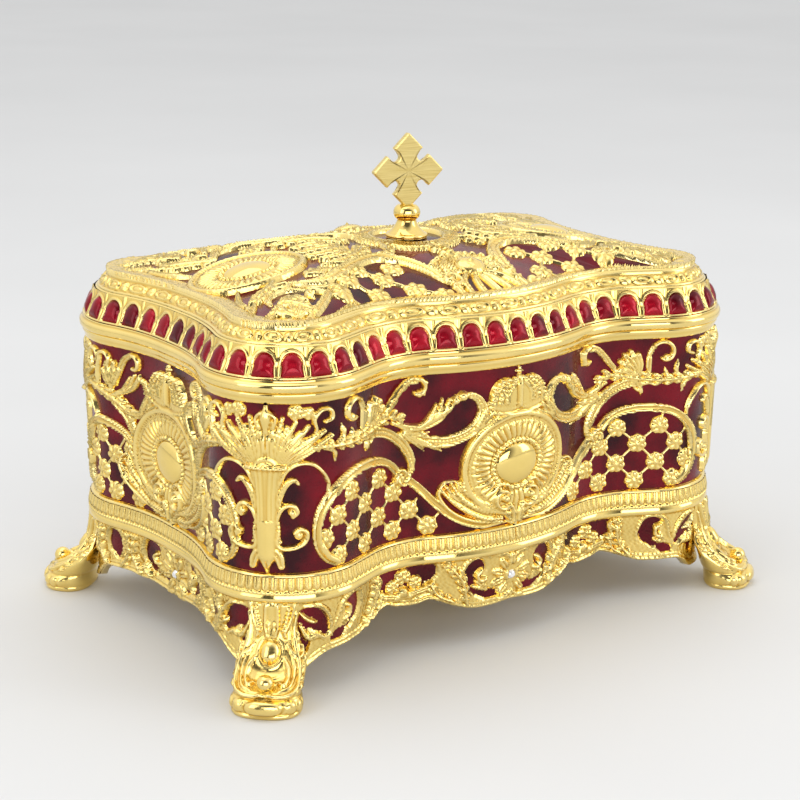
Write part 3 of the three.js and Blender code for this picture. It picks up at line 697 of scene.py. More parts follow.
def foot_window(canvas, side):
    """The comma-shaped window beside a foot, with its leaves."""
    def at(places):
        return [(FOOT_U + side * du, z) for du, z in places]

    window_cut(canvas, at([(11.6, 29.4), (17, 30), (21, 25.4)]), 10.4, (0.8, 0.7))
    window_cut(canvas, at([(11.4, 24), (11.4, 18)]), 6.0, (0.9, 0.7))
    stroke(canvas, at([(24.4, 21), (23, 29), (18, 34.6), (11.4, 35)]), 1.8, 2.3, (0.4, 0.5), leaf)
    stroke(canvas, at([(21.6, 20.6), (18, 22.4), (13.6, 22.0), (10.4, 27)]), 2.2, 2.1, (0.5, 0.5), leaf)


def front_skirt(canvas):
    """Windows, plumes and leaves from the blossom to the foot on the long sides."""
    window_cut(canvas, [(17.4, 31.6), (18.6, 28), (17, 24)], 9.6, (1, 0.8))
    window_cut(canvas, [(4.5, 19.0), (9.5, 19.6), (14.5, 21.6)], 4.6, (0.5, 1))
    stroke(canvas, [(12.4, 27.0), (14.8, 26.4), (16.4, 28.8), (14.6, 31)], 2.2, 2.2, (0.9, 0.8))
    fan(canvas, (11.6, 22), [60, 40, 20], [5.6, 6.4, 6.6], 1.7, 2.0, 0.6)
    stroke(canvas, [(10.6, 36), (14, 37.2), (20, 36.4), (23.6, 31), (22.6, 25), (18, 20.4)], 1.9, 2.3,
           (0.5, 0.5), leaf)
    plume(canvas, (21, 17.6), (31, 36.6), 0.12, 6, 4.8)
    plume(canvas, (27, 19.6), (37.6, 30.6), -0.16, 4, 4.2)
    stroke(canvas, [(29, 20), (35.5, 24.6), (38.6, 30), (37, 35.6)], 1.8, 2.3, (0.5, 0.5), leaf)
    sprig(canvas, 48, 28.6)
    plume(canvas, (70, 18.6), (63.6, 36.4), 0.14, 6, 5.0)
    plume(canvas, (66, 20.4), (60.4, 29.6), 0.2, 3, 3.6)
    stroke(canvas, [(58.4, 24.6), (62, 28), (60.4, 33.6), (63, 37)], 1.7, 2.2, (0.5, 0.5), leaf)
    window_cut(canvas, [(79.4, 33), (78.4, 29), (80.6, 24.4)], 9.0, (1, 0.6))
    window_cut(canvas, [(84, 21.6), (88.4, 19.6)], 5.0, (0.7, 1))
    stroke(canvas, [(84.4, 26.4), (81.6, 27.4), (81.2, 30.6), (83.4, 32)], 2.1, 2.2, (0.9, 0.8))
    fan(canvas, (86.4, 23.6), [120, 142, 164], [5.0, 5.6, 5.2], 1.6, 2.0, 0.6)
    stroke(canvas, [(73.4, 23), (73, 30), (75.6, 35.6), (81, 36.6), (86, 33.6), (88, 28), (90.6, 22.6)],
           1.7, 2.3, (0.4, 0.4), leaf)
    foot_window(canvas, -1)
    stroke(canvas, [(97.6, 27.6), (101.4, 29.4), (104.4, 32)], 1.4, 2.0, (0.3, 0.5))


def side_skirt(canvas):
    """The same from the foot to the blossom on the short sides."""
    foot_window(canvas, 1)
    plume(canvas, (142.6, 20), (140.6, 36), 0.2, 4, 4.4)
    window_cut(canvas, [(148.2, 33.0), (147.6, 30), (149.6, 25.6)], 8.6, (1, 0.6))
    stroke(canvas, [(143, 24), (143.4, 31), (147, 36.8), (152.6, 35.6), (153.6, 29.6), (151, 24)], 1.6, 2.2,
           (0.4, 0.4), leaf)
    plume(canvas, (152, 20.4), (156.6, 36.4), -0.16, 5, 4.6)
    plume(canvas, (163.4, 20.2), (160.6, 36.6), 0.16, 5, 4.2)
    draw(window_cut, canvas, [
        ([(171.8, 34), (169.6, 31), (171.2, 25.6)], 9.0, (1, 0.7)),
        ([(174, 33.6), (173.4, 35)], 4.6),
        ([(173.6, 22.8), (178, 23.4), (182.4, 21.4)], 3.6, (0.6, 0.6)),
    ])
    stroke(canvas, [(176, 27.6), (173.6, 27.4), (172.4, 30), (174.4, 31.4)], 2.0, 2.2, (0.9, 0.8))
    stroke(canvas, [(165.6, 24), (165, 31), (168.6, 37), (175, 37), (178.6, 33.6)], 1.6, 2.3, (0.4, 0.4),
           leaf)
    plume(canvas, (170, 21), (166, 25.6), 0.2, 3, 3.0)
    fan(canvas, (179, 26), [200, 178, 222], [5.0, 4.6, 5.0], 1.6, 2.0, 0.6)


def skirt_quarter():
    columns = int(round(SIDE / PITCH)) + 1
    rows = 52
    u = np.linspace(0, SIDE, columns)[:, None] * np.ones(rows)
    z = skirt_edge(u) + np.linspace(0, 1, rows) ** 0.9 * (SKIRT_TOP - skirt_edge(u))
    canvas = Canvas(u, z, 0.9)
    front_skirt(canvas)
    side_skirt(canvas)
    for centre in (0, SIDE):
        blossom(canvas, centre)
        for side in (-1, 1):
            stroke(canvas, [(centre + side * 1.2, 34.4), (centre + side * 4, 36.4),
                            (centre + side * 9, 36.2)], 1.8, 2.2, (0.8, 0.3), leaf)
            stroke(canvas, [(centre, 20.4), (centre + side * 3, 17.6), (centre + side * 8, 17.6)], 1.5, 2.0,
                   (0.6, 0.3))
    rise = np.clip(z - skirt_edge(u), 0, None)
    ridge = 1.9 * hump(rise, 0.9, 0.9)
    inner = 1.5 * hump(rise, 2.3, 0.5)
    top = 1.5 * hump(SKIRT_TOP - z, 0, 0.9)
    canvas.h = np.maximum.reduce([canvas.h, ridge, inner, top])
    wave = 0.16 * np.sin(u * 2.9 + 1.7 * np.sin(z * 1.3)) * np.sin(z * 2.3 + 1.1 * np.sin(u * 0.9))
    canvas.h = np.where(canvas.h > 0.2, canvas.h + wave, canvas.h)
    return canvas


LOTUS = Ground([(1.55, 40.1), (1.2, 41.8), (0.15, 46.9)])
LOTUS_TONGUES = 240


def lotus_heights(u, z):
    """A row of hanging tongues with rounded tips under a plain string, over a line of small leaves."""
    pitch = LAP / LOTUS_TONGUES
    across = np.abs(np.mod(u, pitch) - pitch / 2) / (pitch / 2)
    fall = (z - 42.0) / (46.9 - 42.0)
    width = 0.95 * hump(1 - np.clip(fall / 0.5, 0, 1))
    tongue = 0.95 * np.sqrt(np.clip(1 - (across / np.maximum(width, 1e-3)) ** 4, 0, 1)) * (fall > 0)
    tongue *= 1.15 - 0.4 * bell(across / 0.14)
    beside = (np.mod(u, pitch / 2) - pitch / 4) / (pitch / 4.6)
    small = 0.75 * np.sqrt(np.clip(1 - beside ** 2 - ((z - 41.0) / 0.75) ** 2, 0, 1))
    return np.maximum(tongue, small) + 0.05


# ---------------------------------------------------------------- materials

def new_material(name, values):
    """A material, its node tree and its shader, whose inputs take the given plain values."""
    material = bpy.data.materials.new(name)
    material.use_nodes = True
    shader = material.node_tree.nodes["Principled BSDF"]
    for key, value in values.items():
        shader.inputs[key].default_value = value
    return material, material.node_tree, shader


def add_node(tree, kind, inputs=(), **settings):
    node = tree.nodes.new(kind)
    for key, value in settings.items():
        setattr(node, key, value)
    for key, value in dict(inputs).items():
        node.inputs[key].default_value = value
    return node


def noise(tree, scale, detail=4.0, stretch=None):
    """Noise over an object's own coordinates, which a mapping may stretch first."""
    place = add_node(tree, "ShaderNodeTexCoord").outputs["Object"]
    if stretch:
        mapping = add_node(tree, "ShaderNodeMapping", stretch)
        tree.links.new(place, mapping.inputs["Vector"])
        place = mapping.outputs["Vector"]
    texture = add_node(tree, "ShaderNodeTexNoise", {"Scale": scale, "Detail": detail})
    tree.links.new(place, texture.inputs["Vector"])
    return texture.outputs["Fac"]


def add_bump(tree, shader, height, strength, distance):
    bump = add_node(tree, "ShaderNodeBump", {"Strength": strength, "Distance": distance})
    tree.links.new(height, bump.inputs["Height"])
    tree.links.new(bump.outputs["Normal"], shader.inputs["Normal"])


def multiply(tree, first, second):
    node = add_node(tree, "ShaderNodeMix", {0: 1.0}, data_type="RGBA", blend_type="MULTIPLY")
    tree.links.new(first, node.inputs[6])
    tree.links.new(second, node.inputs[7])
    return node.outputs[2]


def ramp(tree, source, stops):
    node = add_node(tree, "ShaderNodeValToRGB")
    elements = node.color_ramp.elements
    while len(elements) < len(stops):
        elements.new(0.5)
    for element, (place, colour) in zip(elements, stops):
        element.position = place
        element.color = (*colour, 1) if len(colour) == 3 else colour
    tree.links.new(source, node.inputs["Fac"])
    return node.outputs["Color"]


def grey(value):
    return (value, value, value)


def gold(name, roughness, bump):
    """Gold plate: painted shade darkens the hollows and a painted highlight lightens the high edges, over a
    cast grain.
    """
    material, tree, shader = new_material(name, {"Metallic": 1.0})
    geometry = add_node(tree, "ShaderNodeNewGeometry")
    # painted shade in the hollows and painted highlight on the high edges, driven by pointiness
    shade_and_highlight_tones = [(0.43, (0.70, 0.38, 0.05)), (0.505, (0.96, 0.725, 0.235)), (0.60, (1.0, 0.81, 0.36))]
    painted_shade_and_highlight = ramp(tree, geometry.outputs["Pointiness"], shade_and_highlight_tones)
    stain = ramp(tree, noise(tree, 60.0, 6.0), [(0.35, grey(0.90)), (0.65, grey(1.0))])
    tree.links.new(multiply(tree, painted_shade_and_highlight, stain), shader.inputs["Base Color"])
    rough = ramp(tree, noise(tree, 240.0, 5.0), [(0.3, grey(roughness * 0.7)),
                                                 (0.75, grey(roughness * 1.35))])
    tree.links.new(rough, shader.inputs["Roughness"])
    add_bump(tree, shader, noise(tree, 900.0, 3.0), bump, 0.0002)
    return material


def enamel(name, low, high):
    """Translucent wine-red enamel: a glossy coat over a brushed foil that glints through."""
    material, tree, shader = new_material(name, {
        "Metallic": 0.45, "Specular IOR Level": 0.05,
        "Coat Weight": 0.4, "Coat Roughness": 0.03, "Coat IOR": 1.5,
    })
    tree.links.new(ramp(tree, noise(tree, 45.0, 5.0), [(0.35, low), (0.7, high)]),
                   shader.inputs["Base Color"])
    rough = ramp(tree, noise(tree, 400.0, 3.0), [(0.3, grey(0.22)), (0.8, grey(0.42))])
    tree.links.new(rough, shader.inputs["Roughness"])
    add_bump(tree, shader, noise(tree, 70.0, 2.0), 0.12, 0.0006)
    return material


def brushed():
    """Satin gold with fine strokes slanting across the plate."""
    material, tree, shader = new_material("gilt_brushed", {"Metallic": 1.0})
    slant = {"Rotation": (0, math.radians(52), 0), "Scale": (60, 60, 2600)}
    strokes = noise(tree, 1.0, 5.0, slant)
    tone = ramp(tree, strokes, [(0.3, (0.62, 0.47, 0.15)), (0.7, (0.86, 0.70, 0.30))])
    tree.links.new(tone, shader.inputs["Base Color"])
    tree.links.new(ramp(tree, strokes, [(0.3, grey(0.42)), (0.7, grey(0.30))]), shader.inputs["Roughness"])
    add_bump(tree, shader, strokes, 0.25, 0.0001)
    return material


def crystal():
    """A clear cut stone over a bright foil."""
    material, tree, shader = new_material("crystal", {
        "Metallic": 0.7, "Roughness": 0.04, "Coat Weight": 1.0, "Coat Roughness": 0.01, "Coat IOR": 2.2,
    })
    tint = ramp(tree, noise(tree, 900.0, 2.0), [(0.3, (0.86, 0.88, 0.92)), (0.7, (1.0, 1.0, 1.0))])
    tree.links.new(tint, shader.inputs["Base Color"])
    return material


def floor_material():
    material, tree, shader = new_material("studio_floor", {"Roughness": 0.75})
    tone = ramp(tree, noise(tree, 3.0, 3.0), [(0.3, (0.665, 0.668, 0.668)), (0.8, (0.70, 0.703, 0.703))])
    tree.links.new(tone, shader.inputs["Base Color"])
    return material


GOLD = gold("gilt_cast", 0.17, 0.14)
GOLD_POLISHED = gold("gilt_polished", 0.09, 0.05)
GOLD_BRUSHED = brushed()
ENAMEL = enamel("enamel", (0.03, 0.0005, 0.003), (0.20, 0.0015, 0.010))
# a brighter copy of the enamel for the gadroon cushions: its bright tone is painted glint
ENAMEL_PAINTED_GLINT = enamel("enamel_painted_glint", (0.08, 0.001, 0.005), (0.50, 0.005, 0.020))
CRYSTAL = crystal()


# ---------------------------------------------------------------- pieces

def mesh_object(name, points, quads, material, smooth_shaded=True, triangles=None):
    """An object from millimetre points; quads and triangles are rows of corner numbers."""
    points = np.asarray(points, float) * MILLIMETRE
    mesh = bpy.data.meshes.new(name)
    loops = np.asarray(quads, np.int32).ravel()
    sizes = np.full(len(quads), 4, np.int32)
    if triangles is not None and len(triangles):
        loops = np.concatenate([loops, np.asarray(triangles, np.int32).ravel()])
        sizes = np.concatenate([sizes, np.full(len(triangles), 3, np.int32)])
    mesh.vertices.add(len(points))
    mesh.vertices.foreach_set("co", points.astype(np.float32).ravel())
    mesh.loops.add(len(loops))
    mesh.loops.foreach_set("vertex_index", loops)
    mesh.polygons.add(len(sizes))
    mesh.polygons.foreach_set("loop_start", running(sizes[:-1]).astype(np.int32))
    mesh.polygons.foreach_set("use_smooth", np.full(len(sizes), smooth_shaded))
    mesh.update(calc_edges=True)
    mesh.validate()
    mesh.materials.append(material)
    piece = bpy.data.objects.new(name, mesh)
    bpy.context.scene.collection.objects.link(piece)
    return piece


def grid_quads(rows, columns, closed=False):
    """Quads of a grid of points laid out rows by columns, the columns joined up if closed."""
    index = np.arange(rows * columns).reshape(rows, columns)
    if closed:
        index = np.concatenate([index, index[:, :1]], 1)
    return np.stack([index[:-1, :-1], index[:-1, 1:], index[1:, 1:], index[1:, :-1]], -1).reshape(-1, 4)


def adopt(piece, node):
    """Ride a piece on the casket, in place of one solid or of several."""
    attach(piece, "root")
    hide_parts(*([node] if isinstance(node, str) else node))
    return piece


WHOLE = -9  # a least height that keeps every face


def relief_piece(name, ground, a, b, h, material, node, slot, least=0.0):
    """The part of a relief that stands out of its ground; its edge runs a little below the ground."""
    points = ground(a, b, h).reshape(-1, 3)
    quads = grid_quads(*a.shape)
    heights = h.ravel()[quads]
    quads = quads[heights.max(1) > least]
    used, renumbered = np.unique(quads, return_inverse=True)
    piece = mesh_object(name, points[used], renumbered.reshape(-1, 4)[:, ::-1], material)
    return adopt(piece, node)


def cap_faces(start, count, centre):
    """Triangles from a ring of corners to a centre."""
    corner = np.arange(count)
    return np.stack([start + corner, start + (corner + 1) % count, np.full(count, centre)], -1)


def swept_piece(name, profile, material, node, step):
    """A band of the given (offset, z) profile all round the casket; heights may vary with u."""
    count = int(LAP / step)
    u = np.linspace(0, LAP, count, endpoint=False)
    rows = []
    for offset, z in profile:
        height = z(u) if callable(z) else np.full(count, float(z))
        rows.append(np.stack([*offset_outline(u, offset), height], -1))
    piece = mesh_object(name, np.concatenate(rows), grid_quads(len(rows), count, True), material)
    return adopt(piece, node)


# ---------------------------------------------------------------- casket body

def quarters(canvas):
    """Heights of a quarter laid out all round the lap, with their places."""
    back = slice(-2, None, -1)
    a, b, h = (np.concatenate([v, v[back]]) for v in (canvas.a, canvas.b, canvas.h))
    a[len(canvas.a):] = 2 * SIDE - a[len(canvas.a):]
    return [np.concatenate([v, w[1:]]) for v, w in ((a, a + 2 * SIDE), (b, b), (h, h))]


def panels(name, ground, canvas, node):
    """One relief piece for each side of the casket, parted at the corners."""
    lap = quarters(canvas)
    corners = [TORCH_U, 2 * SIDE - TORCH_U, 2 * SIDE + TORCH_U, LAP - TORCH_U]
    columns = np.searchsorted(lap[0][:, 0], corners)
    sides = {side: [v[start:end + 1] for v in lap] for side, start, end in
             zip(("right", "back", "left"), columns, columns[1:])}
    sides["front"] = [np.concatenate([v[columns[3]:-1], v[:columns[0] + 1]]) for v in lap]
    for side, places in sides.items():
        relief_piece(f"{name}_{side}", ground, *places, GOLD, node, "gilt_metal")


def lap_grid(columns, low, high, rows):
    return np.meshgrid(np.linspace(0, LAP, columns + 1), np.linspace(low, high, rows), indexing="ij")


BOSS_HEIGHT = 3.0


def boss(name, ground, centre, radii, base, node):
    """A polished oval over the middle of a medallion."""
    a, b = np.meshgrid(np.linspace(-1, 1, 41), np.linspace(-1, 1, 41), indexing="ij")
    a, b = a * np.sqrt(1 - b * b / 2), b * np.sqrt(1 - a * a / 2)
    h = base + BOSS_HEIGHT * np.sqrt(np.clip(1.04 - a * a - b * b, 0, 1))
    a, b = centre[0] + a * radii[0], centre[1] + b * radii[1]
    relief_piece(name, ground, a, b, h, GOLD_POLISHED, node, "gilt_polished", WHOLE)


FLOOR_TOP = 40
FLOOR_UNDERSIDE = 37.3


def build_body():
    """Bosses, relief, enamel grounds and the shell of the skirt and the walls."""
    for k, side in enumerate(("front", "right", "back", "left")):
        boss(f"medallion_boss_{side}", WALL, (k * SIDE, MEDALLION_Z), (10.2, 8.6), 1.3, "casket_body")
    panels("wall_relief", WALL, wall_quarter(), "casket_body")
    panels("skirt_relief", SKIRT, skirt_quarter(), "casket_base")
    swept_piece("wall_enamel", [(-0.98, 48.3), (-0.5, 81), (0, 113.8)], ENAMEL, "casket_body",
                0.8)
    skirt_ground = [(-2.3, lambda u: skirt_edge(u) + 1), (-2.3, 25), (-2.0, 29), (-1.0, 36.8)]
    swept_piece("skirt_enamel", skirt_ground, ENAMEL, "casket_base", 0.8)
    a, b = lap_grid(LOTUS_TONGUES * 8, 40.3, 46.9, 14)
    relief_piece("lotus_band", LOTUS, a, b, lotus_heights(a, b), GOLD, "casket_body", "gilt_metal", WHOLE)
    shell = [(-5, FLOOR_UNDERSIDE), (-5, lambda u: skirt_edge(u) + 0.5), (-4.6, skirt_edge),
             (-2.4, skirt_edge), (-1.4, lambda u: skirt_edge(u) + 0.1),
             (-2.9, lambda u: skirt_edge(u) + 1.4), (-2.7, 27), (-1.5, 36.4), (0.2, 36.9), (1.3, 37.2),
             (1.95, 37.9), (2.15, 38.7), (1.95, 39.5), (1.6, 40.3), (1.0, 41.5), (0.0, 46.7), (0.75, 46.9),
             (0.95, 47.4), (0.7, 47.9), (-0.2, 48.3), (-1.5, 48.4), (-0.6, 113.4), (0.5, 113.7),
             (1.35, 114.2), (1.5, 115.0), (1.7, 115.9), (2.25, 116.6), (2.35, 117.5), (1.95, 118),
             (-3.5, 118), (-4, 117.6), (-4, FLOOR_TOP)]
    swept_piece("casket_shell", shell, GOLD_POLISHED, ("casket_base", "casket_body"), 1.2)


def floor_disc(name, offset, z, up):
    """A flat floor or underside out to an offset from the outline."""
    sides = 400
    u = np.linspace(0, LAP, sides, endpoint=False)
    rim = np.stack([*offset_outline(u, offset), np.full(sides, z)], -1)
    points = np.concatenate([rim, rim * [0.6, 0.6, 1], [[0, 0, z]]])
    quads = grid_quads(2, sides, True)
    triangles = cap_faces(sides, sides, 2 * sides)
    if not up:
        quads, triangles = quads[:, ::-1], triangles[:, ::-1]
    adopt(mesh_object(name, points, quads, GOLD, True, triangles), "casket_base")


build_body()
floor_disc("floor_inside", -3.9, FLOOR_TOP, True)
floor_disc("floor_under", -5, FLOOR_UNDERSIDE, False)


# ---------------------------------------------------------------- lid

COVE = Ground([(1.55, 122.9), (0.9, 123.6), (-0.9, 127), (-2.5, 131), (-3.25, 134.0)], by_height=False)
COVE_LENGTH = COVE.b[-1]
GADROONS = 70
GADROON_PITCH = LAP / GADROONS


def gadroon_distance(u, b):
    """Places within a gadroon's arched opening: 1 at its middle, 0 at its edge, below 0 outside."""
    across = np.abs(np.mod(u + GADROON_PITCH / 2, GADROON_PITCH) - GADROON_PITCH / 2)
    low, shoulder, half = 0.9, 5.6, 4.15
    width = half * (1 - 0.06 * np.clip((b - low) / 5, 0, 1))
    arch = np.hypot(across / half, np.clip(b - shoulder, 0, None) / 4.6)
    side = np.where(b > shoulder, 1 - arch, 1 - across / width)
    return np.minimum(side * half, (b - low)) / 2.2


def cove_gold(u, b):
    """Gold between the gadroons: a lip round each opening and a leaf tip between every two."""
    inside = gadroon_distance(u, b)
    lip = 0.75 * bell(inside, -0.22, 0.2)
    between = np.abs(np.mod(u, GADROON_PITCH) - GADROON_PITCH / 2)
    widening = 0.3 + 0.16 * np.clip(b - 6.5, 0, 5)
    tip = 0.55 * np.clip(1 - between / widening, 0, 1) * smoothstep((b - 5.5) / 2)
    ends = 0.5 * bell(b, 0.35, 0.4)
    sheet = 0.35 + np.maximum.reduce([lip, tip, ends])
    return np.where(inside > 0, np.maximum(BELOW, 0.35 - inside * 3), sheet)


def cove_enamel(u, b):
    """The cushion of enamel in each opening."""
    inside = np.clip(gadroon_distance(u, b) * 0.56, 0, 1)
    return -0.35 + 2.3 * np.sqrt(1 - (1 - inside) ** 2)


BAND = Ground([(-4.3, 134.2), (-5.2, 135.3), (-8.0, 138.4), (-9.6, 140.0)], by_height=False)
BAND_LENGTH = BAND.b[-1]
GUILLOCHE = 52
GUILLOCHE_PITCH = LAP / GUILLOCHE


def band_heights(u, b):
    """Ringed ovals and small rosettes in turn on a plain strip, between two strings."""
    v = b - BAND_LENGTH * 0.48
    place = np.mod(u + GUILLOCHE_PITCH / 2, GUILLOCHE_PITCH) - GUILLOCHE_PITCH / 2
    r = np.hypot(place / 4.4, v / 2.0)
    oval = np.maximum(bell(r, 0.84, 0.16), 0.85 * hump(r / 0.6))
    place = np.mod(u, GUILLOCHE_PITCH) - GUILLOCHE_PITCH / 2
    r = np.hypot(place, v) / 2.0
    petals = 0.55 + 0.45 * np.abs(np.cos(2.5 * np.arctan2(v, place)))
    bud = np.maximum(petals * hump(r), 1.15 * hump(r / 0.32))
    low = 0.6 * hump(b, 0.6, 0.6)
    high = 0.8 * hump(BAND_LENGTH - b, 0.7, 0.7)
    return 0.05 + np.maximum.reduce([oval, bud, low, high])


FIELD_Z = 139.7
DOME_RISE = 12.1
FIELD_OFFSET = -12.0
LID_WALL = 3
LID_MEDALLION_X = 77
WREATH_LEAVES = 16  # in a quarter


def field_edge():
    u = np.linspace(0, LAP, 3000, endpoint=False)
    x, y = offset_outline(u, FIELD_OFFSET)
    angle = np.arctan2(y, x)
    order = np.argsort(angle)
    return angle[order], np.hypot(x, y)[order]


EDGE_ANGLE, EDGE_RADIUS = field_edge()


def field_reach(x, y):
    radius = np.interp(np.arctan2(y, x), EDGE_ANGLE, EDGE_RADIUS, period=2 * math.pi)
    return np.hypot(x, y) / radius


def field_ground(x, y, h):
    reach = field_reach(x, y)
    steep = 2 * DOME_RISE * reach / np.maximum(np.hypot(x, y) / np.maximum(reach, 1e-6), 1)
    lean = h * steep / np.sqrt(1 + steep ** 2)
    size = np.maximum(np.hypot(x, y), 1e-6)
    z = FIELD_Z + DOME_RISE * (1 - np.minimum(reach, 1.02) ** 2) + h / np.sqrt(1 + steep ** 2)
    return np.stack([x + lean * x / size, y + lean * y / size, z], -1)


def field_scrolls(canvas):
    """A quarter of the lid's scrollwork; x runs outwards from the middle, y inwards from the front."""
    frame = [(76, -28.4), (70.6, -34.6), (62, -36.2), (54.6, -33.2), (47, -28.6), (39.6, -25.4),
             (31, -23.8), (24.6, -26.6), (20.4, -33), (18, -41), (16.8, -48.4), (13.6, -53)]
    cells = [(57, -40.6), (40, -39.6), (65.4, -49), (48.5, -49.6), (31.6, -49.6), (40, -57.6),
             (23.4, -57.6), (31, -33), (57, -57), (48.4, -33.4)]
    lattice(canvas, cells, neighbours(cells, 15, 1.2), (1.3, 1.2), (4.6, 6, 1.9))
    draw(stroke, canvas, [
        (frame, 5.2, 2.4, (0.6, 0.5), ribbon),
        ([(x + 1.6, y + 3.2) for x, y in frame[1:8]], 1.6, 2.2, (0.3, 0.3)),
        (spiral((14.6, -50), 4.6, 290, -330, 0.35), 2.4, 2.5, (0.9, 0.8)),
    ])
    dome(canvas, (14.8, -50.2), (1.7, 1.7), 2.6)
    stroke(canvas, [(77, -27.6), (82, -26.6), (84, -30.4), (80.6, -33), (77.4, -31.4)], 2.4, 2.2,
           (0.8, 0.8))


def field_leaves(canvas):
    """A quarter of the lid's leaves."""
    # leaves between the medallion and the ribbon, and up to the wreath
    frond(canvas, [(52, -21), (45, -20), (37, -17.4), (31, -12), (27.6, -5)], 7, 7.0, 2.6, 2.2, lean=44)
    frond(canvas, [(30, -22), (24, -19.6), (20.6, -14), (20, -8)], 5, 5.2, 2.2, 2.0, (1,), lean=50)
    stroke(canvas, [(54, -18), (47, -22.6), (38, -22), (31, -19)], 2.6, 2.2, (0.7, 0.4), leaf)
    plume(canvas, (51.6, -3), (33, -1.5), 0.1, 6, 6.5, 2.5, 2.1, 46)
    plume(canvas, (50, -11), (35, -9), 0.1, 5, 6.0, 2.5, 2.1, 46)
    fan(canvas, (60, -28), [35, 60, 85, 110, 135], [6.4, 7.6, 8, 7.2, 6], 2.8, 2.0, 0.4)
    fan(canvas, (56.4, -26.4), [200, 230, 255], [6, 6.4, 5.4], 2.4, 2.0, 0.5)
    # the ground between medallion and corner cartouche
    frond(canvas, [(79, -22), (84, -27), (90, -31), (96, -36)], 6, 6.2, 2.6, 2.2, lean=44)
    draw(stroke, canvas, [
        ([(92, -17), (96, -24), (99.6, -32), (101, -41)], 2.6, 2.2, (0.5, 0.4), leaf),
        ([(100.6, -14), (101.6, -24), (102.6, -34), (104, -44)], 1.7, 1.8, (0.6, 0.6)),
        ([(75, -37), (72, -42), (66, -43.6), (61, -45.4)], 3.2, 2.2, (0.8, 0.3), leaf),
    ])


def corner_cartouche(canvas):
    """Ribbons, leaf fans and a dome over each corner of the lid."""
    for places, width in (([(66, -43), (74, -51), (83, -58.6), (89.4, -63)], 3.2),
                          ([(88, -44), (95, -50), (103, -55.6), (108, -57)], 3.0),
                          ([(96.6, -37), (102, -43.6), (106.6, -50)], 2.4),
                          ([(62, -53.4), (70, -58), (80, -64)], 2.2)):
        stroke(canvas, places, width, 2.3, (0.5, 0.7), ribbon)
    fan(canvas, (84.6, -40.6), [250, 268, 286, 304, 322], [8.6, 10, 10.6, 10.4, 8.6], 3.0, 2.2, 0.4)
    fan(canvas, (93, -60), [60, 85, 110, 135, 160], [9, 10, 10.4, 10, 8.6], 3.2, 2.4, 0.4)
    stroke(canvas, [(76, -39.6), (80, -35.6), (86, -34.6), (91.6, -37.6), (93.4, -43)], 2.4, 2.2,
           (0.5, 0.6), ribbon)
    stroke(canvas, [(72, -46.6), (75, -43), (78.4, -44.4), (77.6, -48)], 2.0, 2.2, (0.8, 0.6))
    frond(canvas, [(90, -46), (86, -53), (85, -60)], 5, 5.0, 2.2, 2.2, lean=44)
    dome(canvas, (97.6, -62), (3.0, 2.6), 2.2)


def centre_palmette(canvas):
    """Shell palmette on the middle of the long sides, from the wreath down to the ridge."""
    centre = (0, -42.6)
    for size, height in ((14.4, 1.6), (11.2, 2.1), (8.2, 2.6)):
        ring = oval_ring(centre, (size, size * 0.86), 20, math.pi * -0.12, math.pi * 1.12)
        stroke(canvas, ring, 2.6, height, (0.7, 0.7), ribbon)
    dome(canvas, centre, (6.4, 5.8), 2.4, 1.4)
    rosette(canvas, centre, 4.6, 7, 4.2)
    for k in range(7):
        angle = math.radians(200 + 140 * k / 6)
        stroke(canvas, [(centre[0] + 6 * math.cos(angle), centre[1] + 6 * math.sin(angle)),
                        (centre[0] + 14 * math.cos(angle), centre[1] + 15 * math.sin(angle)),
                        (centre[0] + 18 * math.cos(angle), -64.6)], 3.0, 2.0, (0.6, 0.9), leaf)
    frond(canvas, [(0, -30), (0, -25.6), (0, -21)], 3, 7.0, 2.4, 2.2, lean=58)
    for k in range(5):
        dome(canvas, (2.6 + 3.1 * k, -31.4 - 0.35 * k * k), (1.5, 1.3), 1.8, 0.4)


def field_quarter():
    x, y = np.meshgrid(np.linspace(0, 112, 225), np.linspace(-71, 0, 143), indexing="ij")
    canvas = Canvas(x, y)
    field_scrolls(canvas)
    field_leaves(canvas)
    corner_cartouche(canvas)
    centre_palmette(canvas)
    medallion(canvas, (LID_MEDALLION_X, 0), 24.6, 19.4, 44, 1.4)
    # wreath round the finial, its leaf tips outwards
    for k in range(WREATH_LEAVES + 1):
        angle = 90 * (k + 0.5) / WREATH_LEAVES - 90
        direction = direction_at(angle)
        stroke(canvas, [direction * 15.6, direction * 19.6 + turned(direction, 90) * 0.9, direction * 22.0],
               2.5, 2.2, (0.9, 0.4), leaf)
    stroke(canvas, oval_ring((0, 0), (15.4, 15.4), 30, -math.pi / 2 - 0.1, 0.1), 1.7, 1.9, (1, 1))
    reach = field_reach(x, y)
    canvas.h = np.where(reach > 0.955, np.maximum(canvas.h, 1.5 - (0.98 - reach) * 30), canvas.h)
    canvas.h = np.where(reach > 1.03, BELOW, canvas.h)
    grain = 0.14 * np.sin(x * 2.7 + 1.9 * np.sin(y * 1.1)) * np.sin(y * 2.6 + 1.3 * np.sin(x * 0.8))
    canvas.h = np.where(canvas.h > 0.3, canvas.h + grain, canvas.h)
    return canvas


def build_field():
    """The two halves of the field's relief, from one quarter."""
    canvas = field_quarter()
    rows = slice(-2, None, -1)
    x = np.concatenate([canvas.a, canvas.a[:, rows]], 1)
    y = np.concatenate([canvas.b, -canvas.b[:, rows]], 1)
    h = np.concatenate([canvas.h, canvas.h[:, rows]], 1)
    relief_piece("field_relief_right", field_ground, x, y, h, GOLD, "lid", "gilt_metal")
    relief_piece("field_relief_left", field_ground, -x[::-1], y, h[::-1], GOLD, "lid", "gilt_metal")


